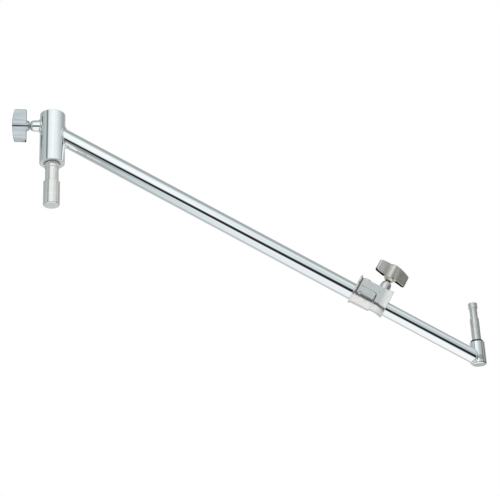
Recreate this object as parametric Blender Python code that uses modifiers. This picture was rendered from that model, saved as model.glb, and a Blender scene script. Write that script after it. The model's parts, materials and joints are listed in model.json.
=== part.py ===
"""Telescopic flag arm: a junior pin with a receiver sleeve, two sliding tubes and a baby stud.

The origin is the centre of the junior pin's end face. The pin points down, the sleeve stands
upright and the arm runs down and away along +X. Lengths are metres.
"""

import math

import bmesh
import bpy
from mathutils import Matrix, Vector

MM = 0.001

# Clearance between pieces that touch, and how far a cutter runs past the face that it opens
GAP = 0.3 * MM
OVERSHOOT = 2.0 * MM

# Junior pin, from its end face up
PIN_RADIUS = 14.3 * MM
PIN_HEAD_LENGTH = 44.5 * MM
PIN_NECK_STEP = 2.65 * MM
PIN_NECK_LENGTH = 35.0 * MM
PIN_END_CHAMFER = 2.0 * MM
PIN_SHOULDER_CHAMFER = 0.6 * MM
PIN_RECESS = 4.5 * MM
PIN_ROOT_STEP = 1.4 * MM
PIN_ROOT_LENGTH = 13.0 * MM
PIN_SHANK_LENGTH = 42.0 * MM

# Receiver sleeve
SLEEVE_WALL = 7.4 * MM
SLEEVE_LENGTH = 96.0 * MM
SLEEVE_CHAMFER = 1.0 * MM

# Where the receiver's screw and the arm's axis cross the sleeve, below its upper face
RECEIVER_SCREW_DEPTH = 22.5 * MM
ARM_DEPTH = 32.5 * MM

# Arm: it falls by this angle below the horizontal
ARM_TILT = math.radians(30.0)
INNER_RADIUS = 12.5 * MM
INNER_WALL = 2.0 * MM
SLIDE_CLEARANCE = 0.8 * MM
OUTER_WALL = 1.7 * MM
OUTER_LENGTH = 627.0 * MM
EXPOSED_LENGTH = 180.5 * MM
HIDDEN_LENGTH = 448.0 * MM

# Guide bush on the inner tube's upper end
BUSH_RIM_LENGTH = 14.0 * MM
BUSH_PLUG_LENGTH = 20.0 * MM
BUSH_WALL = 2.5 * MM

# Clamp collar, along the arm from its flange face
COLLAR_OVERLAP = 32.0 * MM
COLLAR_LENGTH = 62.5 * MM
CAST_EDGE = 0.6 * MM
FLANGE_LIP = 1.6 * MM
FLANGE_RISE = 4.1 * MM
FLANGE_CORNER = 10.4 * MM
FLANGE_THICKNESS = 3.2 * MM
FLANGE_FILLET = 2.4 * MM
SHELL_LENGTH = 39.0 * MM
SHELL_WALL = 3.3 * MM
SHELL_TAPER = 1.2 * MM
SHELL_TOP = 11.5 * MM
SHELL_CORNER = 3.5 * MM
SHELL_END_ARC = 6.0 * MM
SHELL_ROUNDING = 1.2 * MM
BLOCK_WALL = 2.0 * MM
BLOCK_RISE = 14.0 * MM
BLOCK_SLOPE = 2.7 * MM
BLOCK_CORNER = 1.6 * MM
FLARE_RISE = 2.7 * MM
FLARE_LENGTH = 16.0 * MM
CAP_PAD_RADIUS = 8.0 * MM
CAP_PAD_HEIGHT = 5.4 * MM
CAP_PAD_DOME = 1.8 * MM
CAP_PAD_FLAT = 5.6 * MM
CAP_PAD_FROM_FLANGE = 14.0 * MM
CLAMP_BOSS_WALL = 4.2 * MM
CLAMP_BOSS_HEIGHT = 18.5 * MM
CLAMP_BOSS_DOME = 7.0 * MM
CLAMP_BOSS_FROM_FLANGE = 45.5 * MM

# Rivets through the collar's sides into the outer tube
RIVET_RADIUS = 2.4 * MM
RIVET_HEAD_LIP = 0.9 * MM
RIVET_HEAD_HEIGHT = 1.0 * MM
RIVET_FROM_FLANGE = 10.5 * MM
RIVET_BELOW_AXIS = 3.0 * MM

# Screws, their bosses and pads
SCREW_RADIUS = 5.0 * MM
SCREW_CHAMFER = 0.8 * MM
SCREW_IN_KNOB = 22.0 * MM
RECEIVER_BOSS_WALL = 4.7 * MM
RECEIVER_BOSS_LENGTH = 16.0 * MM
RECEIVER_BOSS_DOME = 8.4 * MM
NOSE_LIP = 1.3 * MM
PAD_STEM_RADIUS = 2.2 * MM
PAD_STEM_LENGTH = 5.0 * MM
RECEIVER_PAD_THICKNESS = 4.0 * MM
RECEIVER_PAD_REACH = 8.0 * MM
RECEIVER_KNOB_GAP = 1.1 * MM
CLAMP_PAD_RADIUS = 7.0 * MM
CLAMP_PAD_THICKNESS = 7.0 * MM
CLAMP_PAD_SADDLE = 2.3 * MM
CLAMP_PAD_LIFT = 5.0 * MM
CLAMP_PAD_HEADROOM = 1.5 * MM
CLAMP_KNOB_GAP = 4.2 * MM

# Wing knob
KNOB_HALF_SPAN = 29.5 * MM
KNOB_HUB_WALL = 3.2 * MM
KNOB_TIP_FRONT = 6.2 * MM
KNOB_TIP_BACK = 1.6 * MM
KNOB_ROOT_BACK = 2.6 * MM
KNOB_TIP_RADIUS = 2.6 * MM
KNOB_HEIGHT = 25.0 * MM
KNOB_EDGE = 1.1 * MM
KNOB_CROWN = 4.2 * MM
KNOB_NECK_HEIGHT = 6.0 * MM
KNOB_NECK_LIP = 0.7 * MM
RECEIVER_KNOB_ANGLE = math.radians(-4.0)
CLAMP_KNOB_ANGLE = math.radians(18.0)

# Socket and baby stud at the inner tube's end; heights are above the arm's axis
SOCKET_WALL = 3.26 * MM
SOCKET_TOP = 29.3 * MM
SOCKET_BOTTOM = 10.5 * MM
SOCKET_FLOOR = 4.0 * MM
SOCKET_EDGE = 2.0 * MM
STUD_RADIUS = 7.94 * MM
STUD_REACH = 71.3 * MM
STUD_HEAD_LENGTH = 9.6 * MM
STUD_NECK_LENGTH = 18.6 * MM
STUD_NECK_STEP = 1.34 * MM
STUD_CHAMFER = 1.0 * MM
STUD_SHOULDER = 0.6 * MM
CROSS_HOLE_RADIUS = 2.2 * MM
CROSS_HOLE_ANGLE = math.radians(-30.0)
RING_WIDTH = 2.0 * MM
RING_THICKNESS = 2.2 * MM
RING_EDGE = 0.5 * MM
SET_SCREW_RADIUS = 4.0 * MM
SET_SCREW_SINK = 0.4 * MM
SET_SCREW_CHAMFER = 0.4 * MM

# Weld beads
ARM_BEAD_RADIUS = 2.6 * MM
BOSS_BEAD_RADIUS = 2.2 * MM
SOCKET_BEAD_RADIUS = 2.0 * MM
EAR_SETBACK = 6.0 * MM

# Facets round a full turn
ROUND = 40
SMALL_ROUND = 24

# Sizes and places worked out from the ones above
SLEEVE_BORE_RADIUS = PIN_RADIUS + GAP
SLEEVE_RADIUS = SLEEVE_BORE_RADIUS + SLEEVE_WALL
SLEEVE_BOTTOM = PIN_HEAD_LENGTH + PIN_NECK_LENGTH
SLEEVE_TOP = SLEEVE_BOTTOM + SLEEVE_LENGTH
ARM_JOIN = Vector((0.0, 0.0, SLEEVE_TOP - ARM_DEPTH))
ARM_DIRECTION = Vector((math.cos(ARM_TILT), 0.0, -math.sin(ARM_TILT)))
INNER_BORE_RADIUS = INNER_RADIUS - INNER_WALL
OUTER_BORE_RADIUS = INNER_RADIUS + SLIDE_CLEARANCE
OUTER_RADIUS = OUTER_BORE_RADIUS + OUTER_WALL
COLLAR_TUBE_BORE = OUTER_RADIUS + GAP
COLLAR_SLIDE_BORE = INNER_RADIUS + GAP
COLLAR_START = OUTER_LENGTH - COLLAR_OVERLAP
COLLAR_END = COLLAR_START + COLLAR_LENGTH
SHELL_RADIUS = COLLAR_TUBE_BORE + SHELL_WALL
FLANGE_RADIUS = SHELL_RADIUS + FLANGE_LIP
BLOCK_RADIUS = COLLAR_SLIDE_BORE + BLOCK_WALL
BLOCK_TOP = INNER_RADIUS + BLOCK_RISE
CLAMP_BOSS_TOP = BLOCK_TOP + CLAMP_BOSS_HEIGHT
CLAMP_SCREW_DISTANCE = COLLAR_START + CLAMP_BOSS_FROM_FLANGE
SOCKET_DISTANCE = COLLAR_END + EXPOSED_LENGTH
INNER_START = COLLAR_START - HIDDEN_LENGTH
THREAD_HOLE_RADIUS = SCREW_RADIUS + GAP
NOSE_RADIUS = THREAD_HOLE_RADIUS + NOSE_LIP
RECEIVER_BOSS_RADIUS = THREAD_HOLE_RADIUS + RECEIVER_BOSS_WALL
RECEIVER_BOSS_NOSE = SLEEVE_RADIUS + RECEIVER_BOSS_LENGTH
CLAMP_BOSS_RADIUS = THREAD_HOLE_RADIUS + CLAMP_BOSS_WALL
KNOB_HUB_RADIUS = THREAD_HOLE_RADIUS + KNOB_HUB_WALL
SOCKET_BORE_RADIUS = STUD_RADIUS + GAP
SOCKET_RADIUS = SOCKET_BORE_RADIUS + SOCKET_WALL


def clear_scene():
    for obj in list(bpy.data.objects):
        bpy.data.objects.remove(obj, do_unlink=True)


def new_collection(name):
    collection = bpy.data.collections.new(name)
    bpy.context.scene.collection.children.link(collection)
    return collection


def surface(name, colour, metallic, roughness):
    material = bpy.data.materials.new(name)
    material.use_nodes = True
    shader = material.node_tree.nodes["Principled BSDF"]
    shader.inputs["Base Color"].default_value = (*colour, 1.0)
    shader.inputs["Metallic"].default_value = metallic
    shader.inputs["Roughness"].default_value = roughness
    return material


clear_scene()
parts = new_collection("flag_arm")
helpers = new_collection("cutters_and_forms")

chrome = surface("chrome_plate", (0.78, 0.80, 0.82), 1.0, 0.08)
cast = surface("satin_cast_aluminium", (0.62, 0.63, 0.64), 1.0, 0.35)
knob_cast = surface("polished_cast_alloy", (0.55, 0.55, 0.55), 1.0, 0.25)
zinc = surface("zinc_plated_steel", (0.55, 0.54, 0.48), 1.0, 0.3)
brass = surface("brass", (0.72, 0.56, 0.27), 1.0, 0.3)
rubber = surface("black_rubber", (0.02, 0.02, 0.02), 0.0, 0.7)
nylon = surface("white_nylon", (0.8, 0.8, 0.78), 0.0, 0.5)


def holder(name, matrix, parent=None):
    """An empty on a joint's axis, or on another line that pieces are placed along."""
    empty = bpy.data.objects.new(name, None)
    parts.objects.link(empty)
    empty.parent = parent
    empty.matrix_world = matrix
    bpy.context.view_layer.update()
    return empty


def piece(name, mesh, parent=None, material=None, offset=None):
    """One sub-part; without a material it is a helper form that only shapes other pieces."""
    obj = bpy.data.objects.new(name, mesh)
    if material is None:
        helpers.objects.link(obj)
        obj.hide_render = True
        obj.display_type = "WIRE"
    else:
        parts.objects.link(obj)
        mesh.materials.append(material)
    obj.parent = parent
    if offset is not None:
        obj.matrix_local = offset
    bpy.context.view_layer.update()
    return obj


def boolean(obj, other, operation):
    modifier = obj.modifiers.new(operation.title() + "_" + other.name, "BOOLEAN")
    modifier.operation = operation
    modifier.object = other
    modifier.solver = "EXACT"


def cut(obj, *cutters):
    for cutter in cutters:
        boolean(obj, cutter, "DIFFERENCE")


def join(obj, *forms):
    for form in forms:
        boolean(obj, form, "UNION")


def turned(name, profile, parent=None, material=None, offset=None, ring=False, sides=ROUND):
    """A profile of (radius, height) points, listed down its outer side, turned about local Z."""
    edges = [(index, index + 1) for index in range(len(profile) - 1)]
    if ring:
        edges.append((len(profile) - 1, 0))
    mesh = bpy.data.meshes.new(name)
    mesh.from_pydata([(radius, 0.0, height) for radius, height in profile], edges, [])
    obj = piece(name, mesh, parent, material, offset)
    turn = obj.modifiers.new("Turn", "SCREW")
    turn.steps = sides
    turn.render_steps = sides
    turn.use_merge_vertices = True
    turn.merge_threshold = 0.01 * MM
    return obj


def bar(name, radius, low, high, parent=None, material=None, offset=None, chamfer=0.0, sides=ROUND):
    """A round bar from low to high along local Z."""
    profile = [(0.0, high), (radius - chamfer, high)]
    if chamfer:
        profile += [(radius, high - chamfer), (radius, low + chamfer)]
    else:
        profile[1] = (radius, high)
    profile += [(radius - chamfer, low), (0.0, low)]
    return turned(name, profile, parent, material, offset, sides=sides)


def tube(name, radius, bore, low, high, parent=None, material=None, chamfer=0.0):
    """A round tube from low to high along local Z."""
    profile = [(radius - chamfer, high), (radius, high - chamfer)]
    profile += [(radius, low + chamfer), (radius - chamfer, low)]
    profile += [(bore, low), (bore, high)]
    if not chamfer:
        profile = [(radius, high), (radius, low), (bore, low), (bore, high)]
    return turned(name, profile, parent, material, ring=True)


def arc(centre, radius, start, end, steps):
    """Points on an arc between two angles in degrees, both ends included."""
    points = []
    for index in range(steps + 1):
        angle = math.radians(start + (end - start) * index / steps)
        points.append((centre[0] + radius * math.cos(angle), centre[1] + radius * math.sin(angle)))
    return points


def dome_nose(radius, dome, nose, nose_radius, steps=5):
    """Profile points of a rounded nose, from its small flat end down to the full radius."""
    points = []
    for index in range(steps + 1):
        share = index / steps
        height = nose - dome * share
        swell = math.sqrt(1.0 - (1.0 - share) ** 2)
        points.append((nose_radius + (radius - nose_radius) * swell, height))
    return points


def loft(name, sections, parent=None, material=None, offset=None):
    """Skin a row of closed sections that all have the same number of points, and cap both ends."""
    form = bmesh.new()
    rings = [[form.verts.new(point) for point in section] for section in sections]
    count = len(rings[0])
    for lower, upper in zip(rings, rings[1:]):
        for index in range(count):
            after = (index + 1) % count
            form.faces.new((lower[index], lower[after], upper[after], upper[index]))
    form.faces.new(list(reversed(rings[0])))
    form.faces.new(rings[-1])
    bmesh.ops.recalc_face_normals(form, faces=form.faces)
    mesh = bpy.data.meshes.new(name)
    form.to_mesh(mesh)
    form.free()
    return piece(name, mesh, parent, material, offset)


def collar_section(height, radius, top, corner):
    """Collar outline across the arm: a half round below, flat sides and a rounded top above."""
    outline = arc((0.0, 0.0), radius, 90.0, 270.0, 24)
    low, high = top - corner, radius - corner
    outline += arc((low, -high), corner, 270.0, 360.0, 4)
    outline += arc((low, high), corner, 0.0, 90.0, 4)
    return [(x, y, height) for x, y in outline]


def bead(name, points, radius, parent, *cutters):
    """A weld bead: a round cord along a closed path, trimmed by the pieces that it joins."""
    path = bpy.data.curves.new(name, "CURVE")
    path.dimensions = "3D"
    path.bevel_depth = radius
    path.bevel_resolution = 2
    spline = path.splines.new("POLY")
    spline.points.add(len(points) - 1)
    for point, place in zip(spline.points, points):
        point.co = (*place, 1.0)
    spline.use_cyclic_u = True
    cord = bpy.data.objects.new(name + "_path", path)
    helpers.objects.link(cord)
    mesh = bpy.data.meshes.new_from_object(cord.evaluated_get(bpy.context.evaluated_depsgraph_get()))
    bpy.data.objects.remove(cord, do_unlink=True)
    mesh.materials.clear()
    mesh.name = name
    obj = piece(name, mesh, parent, chrome, parent.matrix_world.inverted())
    cut(obj, *cutters)
    return obj


def meeting_line(start, direction, radius, post_radius, setback=0.0, steps=ROUND):
    """Closed line where a round bar along direction runs into an upright post's surface.

    The post's axis is the world line above and below start. Where the bar is wider than the post,
    the line stays at the setback from the post's axis.
    """
    side = Vector((0.0, 1.0, 0.0))
    rise = direction.cross(side)
    level = math.hypot(direction.x, direction.y)
    points = []
    for index in range(steps):
        angle = 2.0 * math.pi * index / steps
        ring = side * (radius * math.cos(angle)) + rise * (radius * math.sin(angle))
        reach = math.sqrt(max(post_radius ** 2 - ring.y ** 2, 0.0))
        depth = (reach ** 4 + setback ** 4) ** 0.25
        along = (depth - math.copysign(1.0, direction.x) * ring.x) / level
        points.append(start + ring + direction * along)
    return points


# Lines that the pieces are placed along. The arm's own frame has local Z down the arm, local X on
# the knob's side and local Y towards the front.
upright = holder("sleeve_axis", Matrix.Identity(4))
arm_turn = Matrix.Rotation(math.pi, 4, "Z") @ Matrix.Rotation(-math.pi / 2.0 - ARM_TILT, 4, "Y")
arm_line = holder("arm_axis", Matrix.Translation(ARM_JOIN) @ arm_turn, upright)

receiver_centre = Vector((0.0, 0.0, SLEEVE_TOP - RECEIVER_SCREW_DEPTH))
receiver_place = Matrix.Translation(receiver_centre)
receiver_place = receiver_place @ Matrix.Rotation(-math.pi / 2.0, 4, "Y")
receiver_line = holder("receiver_screw_axis", receiver_place, upright)

clamp_place = Matrix.Translation(ARM_JOIN + ARM_DIRECTION * CLAMP_SCREW_DISTANCE)
clamp_line = holder("clamp_screw_axis", clamp_place @ Matrix.Rotation(ARM_TILT, 4, "Y"), upright)

socket_centre = ARM_JOIN + ARM_DIRECTION * SOCKET_DISTANCE
extension_line = holder("extension_axis", Matrix.Translation(ARM_JOIN) @ arm_turn, arm_line)
socket_line = holder("socket_axis", Matrix.Translation(socket_centre), extension_line)


def make_sleeve_and_pin():
    sleeve = tube("receiver_sleeve", SLEEVE_RADIUS, SLEEVE_BORE_RADIUS, SLEEVE_BOTTOM, SLEEVE_TOP,
                  upright, chrome, SLEEVE_CHAMFER)
    hole = bar("receiver_screw_hole", THREAD_HOLE_RADIUS, 0.0, RECEIVER_BOSS_NOSE + OVERSHOOT,
               receiver_line, sides=SMALL_ROUND)
    cut(sleeve, hole)

    root = SLEEVE_BOTTOM + PIN_RECESS
    shank_end = root + PIN_SHANK_LENGTH
    shoulder = PIN_HEAD_LENGTH
    neck_radius = PIN_RADIUS - PIN_NECK_STEP
    root_radius = PIN_RADIUS - PIN_ROOT_STEP
    profile = [(0.0, shank_end), (PIN_RADIUS - PIN_SHOULDER_CHAMFER, shank_end),
               (PIN_RADIUS, shank_end - PIN_SHOULDER_CHAMFER), (PIN_RADIUS, root),
               (root_radius, root), (root_radius, root - PIN_ROOT_LENGTH),
               (neck_radius, root - PIN_ROOT_LENGTH), (neck_radius, shoulder),
               (PIN_RADIUS - PIN_SHOULDER_CHAMFER, shoulder),
               (PIN_RADIUS, shoulder - PIN_SHOULDER_CHAMFER), (PIN_RADIUS, PIN_END_CHAMFER),
               (PIN_RADIUS - PIN_END_CHAMFER, 0.0), (0.0, 0.0)]
    turned("junior_pin", profile, upright, chrome)

    boss_profile = [(THREAD_HOLE_RADIUS, RECEIVER_BOSS_NOSE)]
    boss_profile += dome_nose(RECEIVER_BOSS_RADIUS, RECEIVER_BOSS_DOME, RECEIVER_BOSS_NOSE, NOSE_RADIUS)
    boss_profile += [(RECEIVER_BOSS_RADIUS, SLEEVE_BORE_RADIUS), (THREAD_HOLE_RADIUS, SLEEVE_BORE_RADIUS)]
    boss = turned("screw_boss", boss_profile, receiver_line, chrome, ring=True)
    sleeve_form = bar("sleeve_clearance", SLEEVE_RADIUS + GAP, SLEEVE_BOTTOM, SLEEVE_TOP, upright)
    cut(boss, sleeve_form)

    line = meeting_line(receiver_centre, Vector((-1.0, 0.0, 0.0)), RECEIVER_BOSS_RADIUS, SLEEVE_RADIUS)
    boss_form = bar("boss_clearance", RECEIVER_BOSS_RADIUS + GAP, 0.0, RECEIVER_BOSS_NOSE, receiver_line)
    bead("boss_weld", line, BOSS_BEAD_RADIUS, upright, sleeve_form, boss_form)
    return sleeve_form


def make_outer_tube(sleeve_form, rivet_holes):
    outer = tube("outer_tube", OUTER_RADIUS, OUTER_BORE_RADIUS, OVERSHOOT, OUTER_LENGTH, arm_line, chrome)
    cut(outer, sleeve_form, *rivet_holes)
    line = meeting_line(ARM_JOIN, ARM_DIRECTION, OUTER_RADIUS, SLEEVE_RADIUS)
    tube_form = bar("outer_tube_clearance", OUTER_RADIUS + GAP, 0.0, OUTER_LENGTH, arm_line)
    bead("arm_weld", line, ARM_BEAD_RADIUS, upright, sleeve_form, tube_form)


def make_rivets():
    """Two rivets on one line across the arm, and the holes that they need."""
    place = COLLAR_START + RIVET_FROM_FLANGE
    seat = SHELL_RADIUS + GAP
    tip = OUTER_BORE_RADIUS
    head_radius = RIVET_RADIUS + RIVET_HEAD_LIP
    profile = [(0.0, seat + RIVET_HEAD_HEIGHT), (RIVET_RADIUS, seat + RIVET_HEAD_HEIGHT),
               (head_radius, seat + RIVET_HEAD_HEIGHT / 2.0), (head_radius, seat),
               (RIVET_RADIUS, seat), (RIVET_RADIUS, tip), (0.0, tip)]
    holes = []
    for name, turn in (("front", -math.pi / 2.0), ("back", math.pi / 2.0)):
        across = Matrix.Translation((-RIVET_BELOW_AXIS, 0.0, place)) @ Matrix.Rotation(turn, 4, "X")
        hole = bar("rivet_hole_" + name, RIVET_RADIUS + GAP, 0.0, seat + OVERSHOOT, arm_line,
                   offset=across, sides=SMALL_ROUND)
        holes.append(hole)
        turned("collar_rivet_" + name, profile, arm_line, zinc, across, sides=SMALL_ROUND)
    return holes


def make_collar(rivet_holes):
    """The cast collar: flange, block with its flared mouth, side shell, screw boss and cap pad."""
    flange_end = FLANGE_THICKNESS
    flange_top = BLOCK_TOP + FLANGE_RISE
    edge = CAST_EDGE

    def block_top(height):
        return BLOCK_TOP + BLOCK_SLOPE * height / COLLAR_LENGTH

    stations = [(0.0, FLANGE_RADIUS - edge, flange_top - edge, FLANGE_CORNER),
                (edge, FLANGE_RADIUS, flange_top, FLANGE_CORNER),
                (flange_end - edge, FLANGE_RADIUS, flange_top, FLANGE_CORNER),
                (flange_end, FLANGE_RADIUS - edge, flange_top - edge, FLANGE_CORNER)]
    for share, rise in ((0.0, 1.0), (0.29, 0.29), (1.0, 0.0)):
        height = flange_end + FLANGE_FILLET * share
        lift = FLANGE_FILLET * rise
        stations.append((height, BLOCK_RADIUS + lift, block_top(height) + lift, BLOCK_CORNER + lift))
    flare_steps = 6
    for index in range(flare_steps):
        share = index / flare_steps
        height = COLLAR_LENGTH - FLARE_LENGTH * (1.0 - share)
        flare = FLARE_RISE * (1.0 - math.cos(share * math.pi / 2.0))
        stations.append((height, BLOCK_RADIUS + flare, block_top(height), BLOCK_CORNER))
    mouth_radius = BLOCK_RADIUS + FLARE_RISE
    mouth_top = block_top(COLLAR_LENGTH)
    stations.append((COLLAR_LENGTH - edge, mouth_radius, mouth_top, BLOCK_CORNER))
    stations.append((COLLAR_LENGTH, mouth_radius - edge, mouth_top - edge, BLOCK_CORNER))
    sections = [collar_section(COLLAR_START + height, radius, top, corner)
                for height, radius, top, corner in stations]
    collar = loft("clamp_collar", sections, arm_line, cast)

    fillet = SHELL_ROUNDING
    shell_stations = [(flange_end / 2.0, SHELL_RADIUS + fillet, SHELL_TOP + fillet),
                      (flange_end, SHELL_RADIUS + fillet, SHELL_TOP + fillet),
                      (flange_end + fillet, SHELL_RADIUS + fillet / 3.0, SHELL_TOP + fillet / 3.0),
                      (flange_end + 2.0 * fillet, SHELL_RADIUS, SHELL_TOP)]
    end_radius = SHELL_RADIUS - SHELL_TAPER
    arc_steps = 5
    for index in range(arc_steps + 1):
        swing = math.radians(90.0 * index / arc_steps)
        height = SHELL_LENGTH - SHELL_END_ARC * (1.0 - math.sin(swing))
        drop = SHELL_END_ARC * (1.0 - math.cos(swing))
        tuck = fillet * max(0.0, (height - SHELL_LENGTH + fillet) / fillet) ** 2
        shell_stations.append((height, end_radius - tuck, SHELL_TOP - drop))
    shell = loft("collar_shell_form", [collar_section(COLLAR_START + height, radius, top, SHELL_CORNER)
                                       for height, radius, top in shell_stations], arm_line)

    boss_profile = [(0.0, CLAMP_BOSS_TOP)]
    boss_profile += dome_nose(CLAMP_BOSS_RADIUS, CLAMP_BOSS_DOME, CLAMP_BOSS_TOP, NOSE_RADIUS)
    boss_profile += [(CLAMP_BOSS_RADIUS + edge, BLOCK_TOP), (CLAMP_BOSS_RADIUS, COLLAR_SLIDE_BORE),
                     (0.0, COLLAR_SLIDE_BORE)]
    boss = turned("clamp_boss_form", boss_profile, clamp_line)

    cap_offset = Matrix.Translation((CAP_PAD_FROM_FLANGE - CLAMP_BOSS_FROM_FLANGE, 0.0, 0.0))
    cap_top = block_top(CAP_PAD_FROM_FLANGE) + CAP_PAD_HEIGHT
    cap_foot = cap_top - BLOCK_RISE / 2.0
    cap_dome = dome_nose(CAP_PAD_RADIUS, CAP_PAD_DOME, cap_top, CAP_PAD_FLAT, steps=3)
    cap_profile = [(0.0, cap_top)] + cap_dome
    cap_profile += [(CAP_PAD_RADIUS, cap_foot), (0.0, cap_foot)]
    cap_pad = turned("cap_pad_form", cap_profile, clamp_line, offset=cap_offset)
    join(collar, shell, boss, cap_pad)

    tube_hole = bar("collar_tube_hole", COLLAR_TUBE_BORE, COLLAR_START - OVERSHOOT, OUTER_LENGTH + GAP,
                    arm_line)
    slide_hole = bar("collar_slide_hole", COLLAR_SLIDE_BORE, COLLAR_START, COLLAR_END + OVERSHOOT, arm_line)
    pad_room = COLLAR_SLIDE_BORE + CLAMP_PAD_THICKNESS + CLAMP_PAD_LIFT + CLAMP_PAD_HEADROOM
    pad_hole = bar("clamp_pad_hole", CLAMP_PAD_RADIUS + GAP, 0.0, pad_room, clamp_line)
    screw_hole = bar("clamp_screw_hole", THREAD_HOLE_RADIUS, 0.0, CLAMP_BOSS_TOP + OVERSHOOT,
                     clamp_line, sides=SMALL_ROUND)
    cut(collar, tube_hole, slide_hole, pad_hole, screw_hole, *rivet_holes)


def make_extension():
    inner_end = SOCKET_DISTANCE + SOCKET_RADIUS
    inner = tube("inner_tube", INNER_RADIUS, INNER_BORE_RADIUS, INNER_START, inner_end,
                 extension_line, chrome)
    socket_form = bar("socket_clearance", SOCKET_RADIUS + GAP, -SOCKET_BOTTOM * 2.0, SOCKET_TOP,
                      socket_line)
    span = 4.0 * SOCKET_RADIUS
    beyond_mesh = bpy.data.meshes.new("beyond_socket")
    block = bmesh.new()
    bmesh.ops.create_cube(block, size=span)
    block.to_mesh(beyond_mesh)
    block.free()
    beyond = piece("beyond_socket", beyond_mesh, socket_line,
                   offset=Matrix.Translation((span / 2.0 - EAR_SETBACK, 0.0, 0.0)))
    cut(inner, socket_form, beyond)

    bore = SOCKET_BORE_RADIUS
    floor = SOCKET_FLOOR - SOCKET_BOTTOM
    profile = [(SOCKET_RADIUS - RING_EDGE, SOCKET_TOP), (SOCKET_RADIUS, SOCKET_TOP - RING_EDGE)]
    profile += arc((SOCKET_RADIUS - SOCKET_EDGE, SOCKET_EDGE - SOCKET_BOTTOM), SOCKET_EDGE, 0.0, -90.0, 5)
    profile += [(0.0, -SOCKET_BOTTOM), (0.0, floor), (bore, floor), (bore, SOCKET_TOP)]
    socket = turned("end_socket", profile, socket_line, chrome, ring=True)

    across = Matrix.Rotation(math.pi / 2.0, 4, "X")
    set_screw_hole = bar("set_screw_hole", SET_SCREW_RADIUS + GAP, STUD_RADIUS / 2.0,
                         SOCKET_RADIUS + OVERSHOOT, socket_line, offset=across, sides=SMALL_ROUND)
    cut(socket, set_screw_hole)
    bar("stud_set_screw", SET_SCREW_RADIUS, SOCKET_BORE_RADIUS, SOCKET_RADIUS - SET_SCREW_SINK,
        socket_line, zinc, across, SET_SCREW_CHAMFER, SMALL_ROUND)

    line = meeting_line(socket_centre, -ARM_DIRECTION, INNER_RADIUS, SOCKET_RADIUS, EAR_SETBACK)
    tube_form = bar("inner_tube_clearance", INNER_RADIUS + GAP, SOCKET_DISTANCE - span, SOCKET_DISTANCE,
                    arm_line)
    bead("socket_weld", line, SOCKET_BEAD_RADIUS, socket_line, socket_form, tube_form)

    stud_top = SOCKET_TOP + STUD_REACH
    neck_top = stud_top - STUD_HEAD_LENGTH
    neck_bottom = neck_top - STUD_NECK_LENGTH
    low = floor + GAP
    neck_radius = STUD_RADIUS - STUD_NECK_STEP
    stud_profile = [(0.0, stud_top), (STUD_RADIUS - STUD_CHAMFER, stud_top),
                    (STUD_RADIUS, stud_top - STUD_CHAMFER),
                    (STUD_RADIUS, neck_top + STUD_SHOULDER), (neck_radius, neck_top),
                    (neck_radius, neck_bottom), (STUD_RADIUS, neck_bottom - STUD_SHOULDER),
                    (STUD_RADIUS, low), (0.0, low)]
    stud = turned("baby_stud", stud_profile, socket_line, chrome)
    through = Matrix.Translation((0.0, 0.0, (neck_top + neck_bottom) / 2.0))
    through = through @ Matrix.Rotation(CROSS_HOLE_ANGLE, 4, "Z") @ Matrix.Rotation(math.pi / 2.0, 4, "Y")
    cross_hole = bar("stud_cross_hole", CROSS_HOLE_RADIUS, -2.0 * STUD_RADIUS, 2.0 * STUD_RADIUS,
                     socket_line, offset=through, sides=SMALL_ROUND)
    cut(stud, cross_hole)

    ring_low = SOCKET_TOP + GAP
    tube("stud_ring", SOCKET_BORE_RADIUS + RING_WIDTH, SOCKET_BORE_RADIUS, ring_low,
         ring_low + RING_THICKNESS, socket_line, rubber, RING_EDGE)

    plug_radius = INNER_BORE_RADIUS - GAP
    rim_radius = OUTER_BORE_RADIUS - GAP
    rim_top = INNER_START - GAP
    rim_end = rim_top - BUSH_RIM_LENGTH
    plug_end = INNER_START + BUSH_PLUG_LENGTH
    bush_bore = plug_radius - BUSH_WALL
    bush_profile = [(plug_radius, plug_end), (plug_radius, rim_top), (rim_radius, rim_top),
                    (rim_radius, rim_end), (bush_bore, rim_end), (bush_bore, plug_end)]
    turned("guide_bush", bush_profile, extension_line, nylon, ring=True)


def wing_sides(along):
    """Front and back of the wing knob at a distance along its wings from the screw's axis.

    Each wing is flush with one side of the round hub and set back from the other side. The other
    wing is the same one turned half round.
    """
    if along < 0.0:
        front, back = wing_sides(-along)
        return -back, -front
    hub = KNOB_HUB_RADIUS
    share = along / KNOB_HALF_SPAN
    flush = hub + (KNOB_TIP_FRONT - hub) * share ** 1.5
    set_back = KNOB_ROOT_BACK + (KNOB_TIP_BACK - KNOB_ROOT_BACK) * share
    hub_side = math.sqrt(max(hub ** 2 - along ** 2, 0.0))
    back = (set_back ** 5 + hub_side ** 5) ** 0.2
    return -flush, back


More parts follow.
